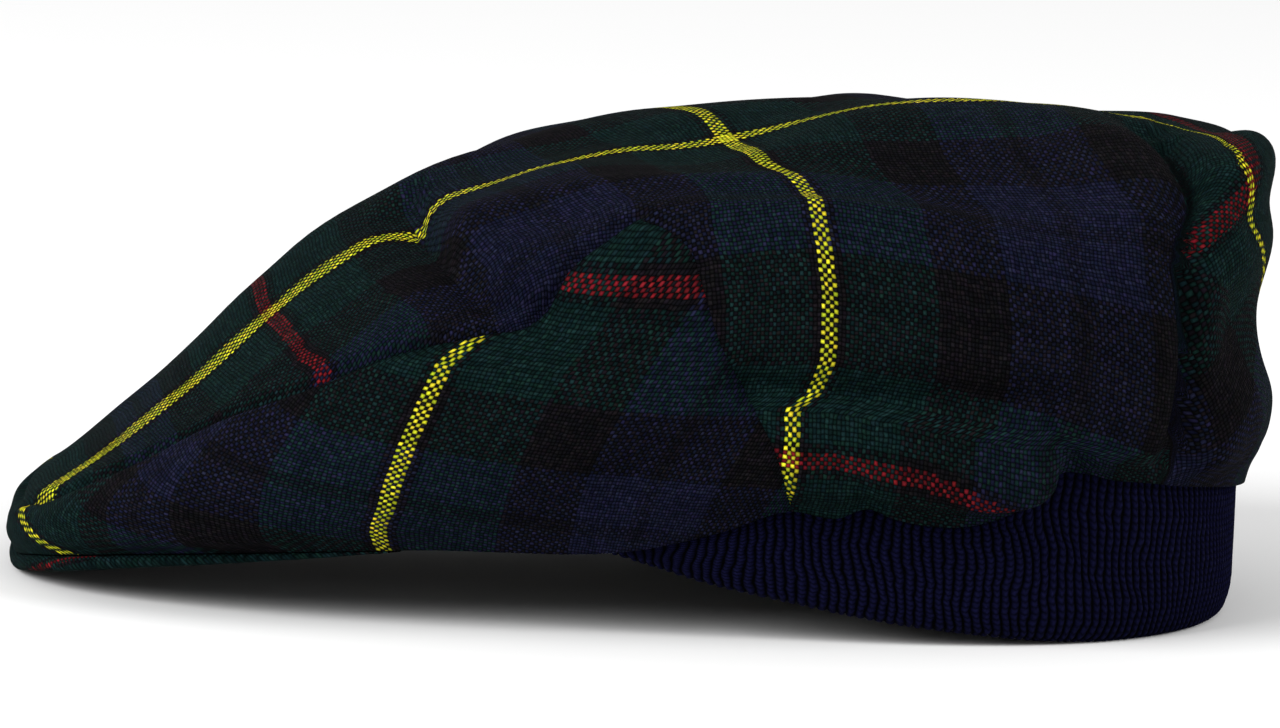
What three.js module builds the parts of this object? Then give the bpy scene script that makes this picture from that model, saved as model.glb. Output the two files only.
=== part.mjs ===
import * as THREE from "three";

// Soft flat cap in millimetres. The front is -Y, the wearer's left is +X, and it rests on Z = 0.
const CROWN_CENTRE_X = -0.312;
const CROWN_CENTRE_Y = 40.213;
const CROWN_CENTRE_Z = 109.4;
const CLOTH_THICKNESS = 1.6;
const PIECE_GAP = 0.3;

// Ring steps over which folds and the wall's thickness take the direction of the cloth.
const FOLD_STEP = 0.02;
const WALL_STEP = 0.18;

// The seam line between the panels sinks into a soft groove.
const SEAM_DEPTH = 1;
const SEAM_WIDTH = 3.2;
// The groove eases toward the front centre, where the cloth turns tightly.
const SEAM_NOSE_SHARE = 0.2;
const SEAM_NOSE_REACH = 34;

// Folds die away over this many ring steps above the hem.
const HEM_FADE = 0.6;

// Plan of the rings from the crown centre outward: reach to front, back and sides, and squareness.
const RINGS = [
  { name: "crest", front: 52, back: 45, half: 45, squareFront: 2.0, squareBack: 2.0 },
  { name: "brow", front: 105, back: 80, half: 76, squareFront: 2.1, squareBack: 2.2 },
  { name: "shoulder", front: 155, back: 94.5, half: 91, squareFront: 2.4, squareBack: 2.5 },
  { name: "bulge", front: 175.5, back: 96.5, half: 96, squareFront: 2.55, squareBack: 2.45 },
  { name: "tuck", front: 179.4, back: 97, half: 93, squareFront: 2.55, squareBack: 2.4 },
  { name: "hem", front: 178, back: 94, half: 85, squareFront: 2.55, squareBack: 2.35 },
];
const HEM = RINGS.length;

// Height of each ring at a plan angle, from the front round to the back; both sides alike.
const SECTIONS = [
  { angle: 0, crest: 102.8, brow: 82.2, shoulder: 34.8, bulge: 16.5, tuck: 9.5, hem: 4 },
  { angle: 10, crest: 102.6, brow: 80.5, shoulder: 35.8, bulge: 19.2, tuck: 12.5, hem: 7.4 },
  { angle: 20, crest: 102.3, brow: 82.5, shoulder: 42.5, bulge: 25.2, tuck: 17, hem: 12 },
  { angle: 38, crest: 102.2, brow: 93.5, shoulder: 66.5, bulge: 41.8, tuck: 27, hem: 17.6 },
  { angle: 58, crest: 102.8, brow: 96.7, shoulder: 87.2, bulge: 54, tuck: 35, hem: 19.4 },
  { angle: 78, crest: 104.6, brow: 97.3, shoulder: 94, bulge: 62, tuck: 39.5, hem: 27.5 },
  { angle: 104, crest: 107, brow: 94.8, shoulder: 89.8, bulge: 64, tuck: 41, hem: 28 },
  { angle: 120, crest: 108, brow: 97, shoulder: 89.2, bulge: 65.5, tuck: 43.5, hem: 33.5 },
  { angle: 140, crest: 108.8, brow: 103, shoulder: 94, bulge: 67.5, tuck: 44.5, hem: 32.5 },
  { angle: 180, crest: 109.4, brow: 105.6, shoulder: 99.5, bulge: 69.5, tuck: 44.5, hem: 28.5 },
];

// Seam of the top panel with a side panel: along the front shoulder up to a peak above the ear,
// then down the side to the hem.
const FRONT_SEAM = [
  { angle: 0, ring: 4.15 },
  { angle: 8, ring: 3.92 },
  { angle: 14, ring: 3.55 },
  { angle: 20, ring: 3.13 },
  { angle: 26, ring: 3.09 },
  { angle: 33, ring: 3.15 },
  { angle: 40, ring: 3.25 },
  { angle: 46, ring: 3.34 },
  { angle: 50.5, ring: 3.36 },
  { angle: 53, ring: 3.13 },
  { angle: 55.5, ring: 2.96 },
  { angle: 59, ring: 2.74 },
];
const BACK_SEAM = [
  { ring: 2.74, angle: 59 },
  { ring: 2.96, angle: 62 },
  { ring: 3.22, angle: 66 },
  { ring: 3.47, angle: 68 },
  { ring: 3.77, angle: 70.2 },
  { ring: 4.06, angle: 72.8 },
  { ring: 4.44, angle: 75.3 },
  { ring: 4.76, angle: 77.2 },
  { ring: 5.68, angle: 79 },
  { ring: 6, angle: 79.3 },
];
const PEAK_OF_SEAM = FRONT_SEAM.at(-1);

// Folds in the cloth: height along the outward normal, half width, and a path of [angle, ring] steps.
const FOLDS = [
  {
    name: "front dent",
    height: -3.2,
    width: 7,
    path: [
      [12, 1.88], [20.5, 2.01], [31, 2.31], [38.8, 2.68],
      [45.5, 3.12], [51, 3.3],
    ],
  },
  {
    name: "front roll",
    height: 2.2,
    width: 8,
    path: [
      [6.5, 1.8], [26.5, 2.02], [38, 2.38], [45.5, 2.7],
      [50.5, 2.95],
    ],
  },
  {
    name: "left ridge",
    height: 1.5,
    width: 6.5,
    path: [
      [36, 2.29], [45.8, 2.04], [62, 1.95], [87.5, 1.9],
      [95.5, 2.05], [98.6, 2.77],
    ],
  },
  {
    name: "left shoulder line",
    height: -1.1,
    width: 4.5,
    path: [
      [97, 2.85], [106.4, 2.75], [114.6, 2.79], [124.9, 2.95],
      [130.7, 3.3],
    ],
  },
  { name: "left hollow", height: -2.6, width: 20, path: [[18, 1.15], [40, 0.95]] },
  { name: "left crown swell", height: 2.9, width: 22, path: [[96, 0.85], [120, 0.9], [144, 1]] },
  {
    name: "left crease",
    height: -3.4,
    width: 5.5,
    path: [
      [72.8, 4.1], [80, 4.23], [96.5, 4.32], [113.5, 4.42],
    ],
  },
  { name: "left puff", height: 4.2, width: 10, path: [[82, 4.95], [96, 5.1], [109, 5.25]] },
  { name: "left upper puff", height: 1.6, width: 13, path: [[78, 3.75], [100, 3.85]] },
  {
    name: "left pleat",
    height: -3.8,
    width: 5.5,
    path: [
      [168, 1.64], [159, 1.73], [149, 2.03], [141.7, 2.48],
      [134.5, 2.93], [132, 3.25], [134.5, 4], [133.9, 5.25],
    ],
  },
  { name: "left side wrinkle", height: -1.9, width: 6.5, path: [[60, 4.98], [68, 4.78], [75, 4.5]] },
  { name: "left side swell", height: 1.7, width: 11, path: [[54, 4.35], [66, 4.2]] },
  { name: "left front swell", height: 1.6, width: 14, path: [[22, 4.5], [38, 4.7]] },
  { name: "left soft line", height: -1.3, width: 7, path: [[117, 3.3], [120, 4.2]] },
  { name: "back corner", height: 3.6, width: 7, path: [[148, 2.78], [170, 2.8]] },
  { name: "back notch", height: -1.8, width: 6, path: [[148, 3.2], [180, 3.22], [212, 3.2]] },
  { name: "back roll", height: 0.8, width: 7, path: [[146, 3.42], [180, 3.45], [212, 3.42]] },
  { name: "back waist", height: -3.2, width: 12, path: [[146, 4.05], [180, 4.08], [212, 4.05]] },
  { name: "back low roll", height: 2.4, width: 8, path: [[144, 4.78], [180, 4.82], [214, 4.78]] },
  { name: "right front slump", height: -4.2, width: 18, path: [[-16, 3.4], [-19, 2.95], [-21, 2.7]] },
  { name: "right brow slump", height: -5.8, width: 22, path: [[-36, 2.3], [-50, 2.02], [-68, 1.9]] },
  { name: "right crown slump", height: -3.4, width: 28, path: [[-75, 1.15], [-105, 1], [-145, 0.98]] },
  { name: "right dent", height: -2.4, width: 8, path: [[-22, 2.1], [-39, 2.68], [-51, 3.3]] },
  {
    name: "right ridge",
    height: 1.2,
    width: 8,
    path: [[-42, 2.1], [-62, 1.95], [-86, 1.9]],
  },
  { name: "right crease", height: -3, width: 6, path: [[-74, 4.2], [-92, 4.3], [-112, 4.42]] },
  { name: "right puff", height: 3.8, width: 10, path: [[-84, 5], [-108, 5.2]] },
  {
    name: "right pleat",
    height: -3.4,
    width: 6,
    path: [
      [-158, 1.75], [-146, 2.2], [-134, 2.95], [-133, 3.6],
      [-134, 5.3],
    ],
  },
  { name: "right side wrinkle", height: -1.7, width: 7, path: [[-58, 4.9], [-73, 4.55]] },
];

// Columns of the cloth as plan angles on one side, and rows as shares of the way out or as rings.
const FRONT_COLUMNS = [
  { from: 0, to: 48, steps: 8 },
  { from: 48, to: PEAK_OF_SEAM.angle, steps: 5 },
];
const BACK_COLUMNS = [
  { from: PEAK_OF_SEAM.angle, to: 120, steps: 10 },
  { from: 120, to: 147, steps: 8 },
  { from: 147, to: 180, steps: 5 },
];
const TOP_SHARES = [0.12, 0.24, 0.36, 0.48, 0.59, 0.69, 0.79, 0.88, 0.955, 1];
const WRAP_RINGS = [2.9, 3.06, 3.28, 3.56, 3.86, 4.1, 4.28, 4.44, 4.66, 4.95, 5.3, 5.65, 6];

// Peak: a stiff crescent under the front, its top following the hem.
const PEAK_END_ANGLE = 37;
const FOREHEAD = { front: 119, back: 92, half: 82, squareFront: 2.2, squareBack: 2.2 };
const PEAK_TIP_WIDTH = 4;
const PEAK_RIM = 3.7;
const PEAK_RIM_LOSS = 0.7;
const PEAK_SLOPE = 0.25;
const PEAK_OVERHANG = 0.8;
const PEAK_SEAT_WIDTH = 3.2;
const PEAK_EDGE_ROUND = 0.9;
const PEAK_STEPS = 28;
const PEAK_ROWS = [0, 0.3, 0.6, 0.85, 0.96, 1];

// Knit band: ribbed wall turned double, from ear to ear round the back.
const BAND_START_ANGLE = 54;
const BAND_THICKNESS = 3.8;
const BAND_INSET = 1.9;
const BAND_TUCK = 5;
const BAND_LIP_ROUND = 1.3;
const BAND_LIP_RISE = 1.8;
const RIB_PITCH = 2.15;
const RIB_DEPTH = 0.55;
const BAND_BOTTOM = [
  { angle: 54, height: 18.4 },
  { angle: 60, height: 16 },
  { angle: 68, height: 12.2 },
  { angle: 80, height: 8.2 },
  { angle: 92, height: 5 },
  { angle: 104, height: 2.7 },
  { angle: 116, height: 1 },
  { angle: 128, height: 0 },
  { angle: 180, height: 0 },
];

const TARTAN_GREEN = 0x1f4a44;
const TARTAN_BLUE = 0x2a2d55;
const KNIT_NAVY = 0x23244e;

const radians = (degrees) => (degrees * Math.PI) / 180;

// Smooth curve through the rows of a table, flat at both ends.
function tableCurve(rows, key, column, at) {
  const last = rows.length - 1;
  const x = Math.min(Math.max(at, rows[0][key]), rows[last][key]);
  let i = 0;
  while (i < last - 1 && x >= rows[i + 1][key]) {
    i += 1;
  }
  const slope = (k) => {
    if (k === 0 || k === last) {
      return 0;
    }
    const before = rows[k][key] - rows[k - 1][key];
    const after = rows[k + 1][key] - rows[k][key];
    const rise = (rows[k][column] - rows[k - 1][column]) / before;
    const next = (rows[k + 1][column] - rows[k][column]) / after;
    return (rise * after + next * before) / (before + after);
  };
  const span = rows[i + 1][key] - rows[i][key];
  const t = (x - rows[i][key]) / span;
  const t2 = t * t;
  const t3 = t2 * t;
  return (2 * t3 - 3 * t2 + 1) * rows[i][column]
    + (t3 - 2 * t2 + t) * span * slope(i)
    + (3 * t2 - 2 * t3) * rows[i + 1][column]
    + (t3 - t2) * span * slope(i + 1);
}

// Plan angle folded to 0 at the front and 180 at the back, the same on both sides.
function foldedAngle(angle) {
  const turn = ((angle % 360) + 360) % 360;
  return turn > 180 ? 360 - turn : turn;
}

// Reach of a ring from the crown centre at a plan angle.
function ringReach(ring, angle) {
  const c = Math.cos(radians(angle));
  const s = Math.sin(radians(angle));
  const along = c > 0 ? ring.front : ring.back;
  const square = c > 0 ? ring.squareFront : ring.squareBack;
  const sum = Math.abs(c / along) ** square + Math.abs(s / ring.half) ** square;
  return sum ** (-1 / square);
}

// Point at a plan angle, reach and height.
function planPoint(angle, reach, height) {
  const x = CROWN_CENTRE_X + reach * Math.sin(radians(angle));
  const y = CROWN_CENTRE_Y - reach * Math.cos(radians(angle));
  return new THREE.Vector3(x, y, height);
}

function ringPoint(index, angle) {
  if (index === 0) {
    return planPoint(0, 0, CROWN_CENTRE_Z);
  }
  const ring = RINGS[index - 1];
  const height = tableCurve(SECTIONS, "angle", ring.name, foldedAngle(angle));
  return planPoint(angle, ringReach(ring, angle), height);
}

// Crown without folds: a smooth curve through the rings, 0 at the centre to the last ring at the hem.
function crownPoint(angle, ring) {
  const i = Math.min(Math.max(Math.floor(ring), 0), HEM - 1);
  const t = ring - i;
  const p1 = ringPoint(i, angle);
  const p2 = ringPoint(i + 1, angle);
  const p0 = i === 0 ? ringPoint(1, angle + 180) : ringPoint(i - 1, angle);
  const p3 = i === HEM - 1 ? p2.clone().multiplyScalar(2).sub(p1) : ringPoint(i + 2, angle);
  const w0 = -t + 2 * t * t - t * t * t;
  const w1 = 2 - 5 * t * t + 3 * t * t * t;
  const w2 = t + 4 * t * t - 3 * t * t * t;
  const w3 = -t * t + t * t * t;
  return p0.multiplyScalar(w0 / 2)
    .addScaledVector(p1, w1 / 2)
    .addScaledVector(p2, w2 / 2)
    .addScaledVector(p3, w3 / 2);
}

// Outward unit normal of a surface given as a function of angle and ring, taken over a ring step each way.
function outwardNormal(surface, angle, ring, stepRing) {
  const stepAngle = 25 * stepRing;
  const at = Math.max(ring, 2 * stepRing);
  const round = surface(angle + stepAngle, at).sub(surface(angle - stepAngle, at));
  const out = surface(angle, at + stepRing).sub(surface(angle, at - stepRing));
  return out.cross(round).normalize();
}

const foldLines = FOLDS.map((fold) => ({
  height: fold.height,
  width: fold.width,
  points: fold.path.map(([angle, ring]) => crownPoint(angle, ring)),
}));

const frontSeamRing = (angle) => tableCurve(FRONT_SEAM, "angle", "ring", Math.abs(angle));
const backSeamAngle = (ring) => tableCurve(BACK_SEAM, "ring", "angle", ring);

const seamLines = [1, -1].map((side) => {
  const points = [];
  for (let angle = 0; angle < PEAK_OF_SEAM.angle; angle += 1.5) {
    points.push(crownPoint(side * angle, frontSeamRing(angle)));
  }
  for (let ring = PEAK_OF_SEAM.ring; ring <= HEM; ring += 0.1) {
    points.push(crownPoint(side * backSeamAngle(ring), ring));
  }
  return points;
});

// Shortest distance from a point to a chain of points.
function chainDistance(point, chain) {
  const foot = new THREE.Vector3();
  let best = Infinity;
  for (let i = 0; i + 1 < chain.length; i += 1) {
    new THREE.Line3(chain[i], chain[i + 1]).closestPointToPoint(point, true, foot);
    best = Math.min(best, foot.distanceTo(point));
  }
  return best;
}

// Height of all folds and the seam groove at a point of the smooth crown.
function foldHeight(point, ring) {
  let height = 0;
  for (const fold of foldLines) {
    const across = chainDistance(point, fold.points) / fold.width;
    height += fold.height * Math.exp(-across * across);
  }
  const groove = Math.min(...seamLines.map((line) => chainDistance(point, line))) / SEAM_WIDTH;
  const nose = Math.min(Math.abs(point.x - CROWN_CENTRE_X) / SEAM_NOSE_REACH, 1);
  const depth = SEAM_DEPTH * (SEAM_NOSE_SHARE + (1 - SEAM_NOSE_SHARE) * nose);
  height -= depth * Math.exp(-groove * groove);
  const fade = Math.min((HEM - ring) / HEM_FADE, 1);
  return height * fade * fade * (3 - 2 * fade);
}

// Crown cloth with its folds.
function clothPoint(angle, ring) {
  const point = crownPoint(angle, ring);
  const normal = outwardNormal(crownPoint, angle, ring, FOLD_STEP);
  return point.addScaledVector(normal, foldHeight(point.clone(), Math.min(ring, HEM)));
}

// A cloth vertex: the outer point and its partner on the inner face of the wall.
function clothPair(angle, ring) {
  const outer = clothPoint(angle, ring);
  const normal = outwardNormal(clothPoint, angle, ring, WALL_STEP);
  return { outer, inner: outer.clone().addScaledVector(normal, -CLOTH_THICKNESS), normal };
}

function movePair(pair, shift) {
  pair.outer.add(shift);
  pair.inner.add(shift);
  return pair;
}

// Direction across the front or back seam, toward the side panel.
function acrossFrontSeam(side, angle, normal) {
  const step = 0.4;
  const ahead = clothPoint(side * (angle + step), frontSeamRing(angle + step));
  const behind = clothPoint(side * (angle - step), frontSeamRing(angle - step));
  return ahead.sub(behind).cross(normal).normalize().multiplyScalar(side);
}

function acrossBackSeam(side, ring, normal) {
  const step = 0.03;
  const below = clothPoint(side * backSeamAngle(ring + step), ring + step);
  const above = clothPoint(side * backSeamAngle(ring - step), ring - step);
  return below.sub(above).cross(normal).normalize().multiplyScalar(side);
}

// Seam vertex moved half a gap to its own side of the seam: +1 for a side panel, -1 for the top panel.
function seamPair(side, angle, ring, toSide) {
  const pair = clothPair(side * angle, ring);
  const across = new THREE.Vector3();
  if (angle <= PEAK_OF_SEAM.angle) {
    across.add(acrossFrontSeam(side, Math.min(angle, PEAK_OF_SEAM.angle - 0.4), pair.normal));
  }
  if (angle >= PEAK_OF_SEAM.angle) {
    across.add(acrossBackSeam(side, Math.max(ring, PEAK_OF_SEAM.ring + 0.03), pair.normal));
  }
  return movePair(pair, across.normalize().multiplyScalar((toSide * PIECE_GAP) / 2));
}

// Closed solid gathered from triangles and quads.
class Solid {
  constructor() {
    this.corners = [];
  }

  triangle(a, b, c) {
    this.corners.push(a.x, a.y, a.z, b.x, b.y, b.z, c.x, c.y, c.z);
  }

  quad(a, b, c, d) {
    this.triangle(a, b, c);
    this.triangle(a, c, d);
  }

  // Strip between two equal rows of points.
  strip(upper, lower) {
    for (let k = 0; k + 1 < upper.length; k += 1) {
      this.quad(upper[k], lower[k], lower[k + 1], upper[k + 1]);
    }
  }

  // Wall between two equal grids, closed at the first and last columns.
  sheet(outer, inner) {
    const end = outer[0].length - 1;
    for (let i = 0; i + 1 < outer.length; i += 1) {
      this.strip(outer[i], outer[i + 1]);
      this.strip(inner[i + 1], inner[i]);
      this.quad(outer[i + 1][0], outer[i][0], inner[i][0], inner[i + 1][0]);
      this.quad(outer[i][end], outer[i + 1][end], inner[i + 1][end], inner[i][end]);
    }
  }

  mesh(name, colour, roughness) {
    const geometry = new THREE.BufferGeometry();
    geometry.setAttribute("position", new THREE.Float32BufferAttribute(this.corners, 3));
    geometry.computeVertexNormals();
    const material = new THREE.MeshStandardMaterial({ color: colour, roughness });
    const mesh = new THREE.Mesh(geometry, material);
    mesh.name = name;
    return mesh;
  }
}

function spread(parts) {
  return parts.flatMap(({ from, to, steps }) => (
    Array.from({ length: steps }, (_, k) => from + ((to - from) * k) / steps)
  ));
}

const frontAngles = spread(FRONT_COLUMNS);
const backAngles = spread(BACK_COLUMNS);

// Plan angle of a back column at a ring: the columns close up as the back seam leans backward.
function wrapAngle(angle, ring) {
  const start = backSeamAngle(ring);
  const share = (angle - PEAK_OF_SEAM.angle) / (180 - PEAK_OF_SEAM.angle);
  return start + share * (180 - start);
}

// Cloth vertex of the top, a share of the way from the crown centre to the seam or the peak's ring.
function topPair(side, angle, share) {
  const limit = frontSeamRing(angle);
  if (share === 1 && angle <= PEAK_OF_SEAM.angle) {
    return seamPair(side, angle, limit, -1);
  }
  return clothPair(side * angle, limit * share);
}

// Cloth vertex of the back wrap below the peak's ring.
function wrapPair(side, angle, ring) {
  const at = wrapAngle(angle, ring);
  return angle === PEAK_OF_SEAM.angle ? seamPair(side, at, ring, -1) : clothPair(side * at, ring);
}

// Top panel: a polar sheet from the crown centre to the seams, and the wrap round sides and back.
function crownTop() {
  const left = (angles) => angles.map((angle) => ({ side: 1, angle }));
  const right = (angles) => angles.map((angle) => ({ side: -1, angle })).reverse();
  const wrap = [...left(backAngles), { side: 1, angle: 180 }, ...right(backAngles)];
  const round = [...left(frontAngles), ...wrap, ...right(frontAngles)];
  const top = TOP_SHARES.map((share) => round.map(({ side, angle }) => topPair(side, angle, share)));
  const first = frontAngles.length;
  const edge = top.at(-1).slice(first, first + wrap.length);
  const lower = WRAP_RINGS.map((ring) => wrap.map(({ side, angle }) => wrapPair(side, angle, ring)));
  const wall = [edge, ...lower];
  const centre = clothPair(0, 0);
  const face = (rows, key) => rows.map((row) => row.map((pair) => pair[key]));
  const outer = face(top, "outer");
  const inner = face(top, "inner");
  const solid = new Solid();
  for (let k = 0; k + 1 < round.length; k += 1) {
    solid.triangle(centre.outer, outer[0][k], outer[0][k + 1]);
    solid.triangle(centre.inner, inner[0][k + 1], inner[0][k]);
  }
  for (let i = 0; i + 1 < top.length; i += 1) {
    solid.strip(outer[i], outer[i + 1]);
    solid.strip(inner[i + 1], inner[i]);
  }
  const frontLeft = [outer.at(-1), inner.at(-1)].map((row) => row.slice(0, first + 1));
  const frontRight = [outer.at(-1), inner.at(-1)].map((row) => row.slice(first + wrap.length - 1));
  solid.strip(...frontLeft);
  solid.strip(...frontRight);
  solid.sheet(face(wall, "outer"), face(wall, "inner"));
  solid.strip(lower.at(-1).map((pair) => pair.outer), lower.at(-1).map((pair) => pair.inner));
  return solid.mesh("crown_top", TARTAN_BLUE, 0.9);
}

// Cloth vertex of a side panel at a share of its length, and in a row that meets the back seam at a ring.
function sidePair(side, along, ring) {
  const down = (ring - PEAK_OF_SEAM.ring) / (HEM - PEAK_OF_SEAM.ring);
  const angle = along * backSeamAngle(ring);
  const top = frontSeamRing(along * PEAK_OF_SEAM.angle);
  const at = top + (HEM - top) * down;
  if (down === 0 || along === 1) {
    return seamPair(side, angle, at, 1);
  }
  const pair = clothPair(side * angle, at);
  return along === 0 ? movePair(pair, new THREE.Vector3((side * PIECE_GAP) / 2, 0, 0)) : pair;
}

// Side panel: a wedge from the front centre to the back seam behind the ear.
function sidePanel(name, side) {
  const shares = [...frontAngles.map((angle) => angle / PEAK_OF_SEAM.angle), 1];
  if (side < 0) {
    shares.reverse();
  }
  const rings = [PEAK_OF_SEAM.ring, ...WRAP_RINGS];
  const rows = rings.map((ring) => shares.map((along) => sidePair(side, along, ring)));
  const outer = rows.map((row) => row.map((pair) => pair.outer));
  const inner = rows.map((row) => row.map((pair) => pair.inner));
  const solid = new Solid();
  solid.sheet(outer, inner);
  solid.strip(inner[0], outer[0]);
  solid.strip(outer.at(-1), inner.at(-1));
  return solid.mesh(name, TARTAN_GREEN, 0.9);
}

// Top and bottom of the peak at a plan angle and a share of the way from its inner edge to its rim.
function peakPair(angle, share) {
  const turn = angle / PEAK_END_ANGLE;
  const rim = ringReach(RINGS[HEM - 1], angle) + PEAK_OVERHANG;
  const depth = rim - ringReach(FOREHEAD, angle);
  const width = PEAK_TIP_WIDTH + (depth - PEAK_TIP_WIDTH) * (1 - turn ** 4);
  const inset = PEAK_EDGE_ROUND + (width - PEAK_EDGE_ROUND) * (1 - share);
  const seat = tableCurve(SECTIONS, "angle", "hem", Math.abs(angle)) - PIECE_GAP;
  const top = seat + PEAK_SLOPE * Math.max(inset - PEAK_SEAT_WIDTH, 0);
  const thickness = PEAK_RIM * (1 - PEAK_RIM_LOSS * turn * turn);
  return {
    outer: planPoint(angle, rim - inset, top),
    inner: planPoint(angle, rim - inset, Math.max(top - thickness, 0)),
    nose: planPoint(angle, rim, Math.max(top - thickness / 2, 0)),
  };
}

// Peak: a crescent board under the front with a rounded rim.
function peak() {
  const turns = Array.from({ length: PEAK_STEPS + 1 }, (_, k) => (2 * k) / PEAK_STEPS - 1);
  const angles = turns.map((turn) => turn * PEAK_END_ANGLE);
  const rows = PEAK_ROWS.map((share) => angles.map((angle) => peakPair(angle, share)));
  const top = rows.map((row) => row.map((pair) => pair.outer));
  const bottom = rows.map((row) => row.map((pair) => pair.inner));
  const nose = rows.at(-1).map((pair) => pair.nose);
  const solid = new Solid();
  solid.sheet(top, bottom);
  solid.strip(bottom[0], top[0]);
  solid.strip(top.at(-1), nose);
  solid.strip(nose, bottom.at(-1));
  solid.triangle(top.at(-1)[0], bottom.at(-1)[0], nose[0]);
  solid.triangle(bottom.at(-1).at(-1), top.at(-1).at(-1), nose.at(-1));
  return solid.mesh("peak", TARTAN_GREEN, 0.9);
}

// Plan angles of the rib tops and valleys, evenly spaced along the band from ear to ear.
function ribAngles() {
  const fine = 720;
  const span = 360 - 2 * BAND_START_ANGLE;
  const lengths = [0];
  const angleAt = (k) => BAND_START_ANGLE + (span * k) / fine;
  const spot = (k) => planPoint(angleAt(k), ringReach(RINGS[HEM - 1], angleAt(k)) - BAND_INSET, 0);
  for (let k = 1; k <= fine; k += 1) {
    lengths.push(lengths[k - 1] + spot(k).distanceTo(spot(k - 1)));
  }
  const halves = 2 * Math.round(lengths[fine] / RIB_PITCH);
  let at = 0;
  return Array.from({ length: halves + 1 }, (_, k) => {
    const want = (lengths[fine] * k) / halves;
    while (at < fine - 1 && lengths[at + 1] < want) {
      at += 1;
    }
    return angleAt(at + (want - lengths[at]) / (lengths[at + 1] - lengths[at]));
  });
}

// Knit band: a ribbed wall tucked behind the hem, turned under along a flat lip.
function knitBand() {
  const rows = { top: [], low: [], lipOuter: [], lipInner: [], innerTop: [] };
  ribAngles().forEach((angle, k) => {
    const turned = foldedAngle(angle);
    const reach = ringReach(RINGS[HEM - 1], angle) - BAND_INSET;
    const wall = reach - (k % 2) * RIB_DEPTH;
    const upper = tableCurve(SECTIONS, "angle", "hem", turned) + BAND_TUCK;
    const lower = Math.max(tableCurve(BAND_BOTTOM, "angle", "height", turned), 0);
    rows.top.push(planPoint(angle, wall, upper));
    rows.low.push(planPoint(angle, wall, lower + BAND_LIP_RISE));
    rows.lipOuter.push(planPoint(angle, reach - BAND_LIP_ROUND, lower));
    rows.lipInner.push(planPoint(angle, reach - BAND_THICKNESS, lower));
    rows.innerTop.push(planPoint(angle, reach - BAND_THICKNESS, upper));
  });
  const { top, low, lipOuter, lipInner, innerTop } = rows;
  const solid = new Solid();
  solid.strip(top, low);
  solid.strip(low, lipOuter);
  solid.strip(lipOuter, lipInner);
  solid.strip(lipInner, innerTop);
  solid.strip(innerTop, top);
  const end = top.length - 1;
  solid.quad(low[0], top[0], innerTop[0], lipInner[0]);
  solid.triangle(low[0], lipInner[0], lipOuter[0]);
  solid.quad(top[end], low[end], lipInner[end], innerTop[end]);
  solid.triangle(low[end], lipOuter[end], lipInner[end]);
  return solid.mesh("knit_band", KNIT_NAVY, 0.95);
}

const group = new THREE.Group();
group.name = "flat_cap";
group.add(crownTop());
group.add(sidePanel("side_panel_left", 1));
group.add(sidePanel("side_panel_right", -1));
group.add(peak());
group.add(knitBand());

export default group;
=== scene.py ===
"""Looks of a soft tartan flat cap with a knit back band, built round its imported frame."""

import logging
import math
from dataclasses import dataclass, field
from enum import Enum

import bpy
import numpy as np
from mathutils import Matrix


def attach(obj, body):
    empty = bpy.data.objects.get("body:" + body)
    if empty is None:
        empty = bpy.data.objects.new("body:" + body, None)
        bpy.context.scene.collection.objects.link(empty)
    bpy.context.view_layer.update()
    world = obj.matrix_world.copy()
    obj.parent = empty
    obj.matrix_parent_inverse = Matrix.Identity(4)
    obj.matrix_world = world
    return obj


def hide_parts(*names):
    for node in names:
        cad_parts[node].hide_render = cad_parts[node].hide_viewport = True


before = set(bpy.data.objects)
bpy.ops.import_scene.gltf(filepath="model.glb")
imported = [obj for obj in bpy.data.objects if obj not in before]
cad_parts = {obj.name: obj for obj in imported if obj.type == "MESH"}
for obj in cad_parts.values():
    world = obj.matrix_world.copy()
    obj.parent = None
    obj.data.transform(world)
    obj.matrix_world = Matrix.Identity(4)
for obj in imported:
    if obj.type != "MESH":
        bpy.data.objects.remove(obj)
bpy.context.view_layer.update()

LOG = logging.getLogger("flat_cap")
MM = 0.001
Array = np.ndarray
Triple = tuple[float, float, float]
Path = tuple[tuple[float, float], ...]


class Side(Enum):
    """The wearer's left and right, as the sign of X."""

    LEFT = 1
    RIGHT = -1


class Yarns(Enum):
    """The two ways that the yarns of the cloth run."""

    CROSSWISE = 0
    LENGTHWISE = 1


@dataclass(frozen=True)
class Ring:
    """Plan of one ring of the crown: its reach to front, back and sides, and its squareness."""

    name: str
    front: float
    back: float
    half: float
    square_front: float
    square_back: float


@dataclass(frozen=True)
class Fold:
    """A soft ridge, or a dent where the height is negative, along a path of (angle, ring) points."""

    name: str
    height: float
    width: float
    path: Path


@dataclass(frozen=True)
class ClothLine:
    """A coloured line of the cloth: which yarns it follows, its place in the sett, and its path."""

    name: str
    yarns: Yarns
    place: float
    path: Path


RINGS = (
    Ring("crest", 52, 45, 45, 2.0, 2.0),
    Ring("brow", 105, 80, 76, 2.1, 2.2),
    Ring("shoulder", 155, 94.5, 91, 2.4, 2.5),
    Ring("bulge", 175.5, 96.5, 96, 2.55, 2.45),
    Ring("tuck", 179.4, 97, 93, 2.55, 2.4),
    Ring("hem", 178, 94, 85, 2.55, 2.35),
)
HEM = len(RINGS)

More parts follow.
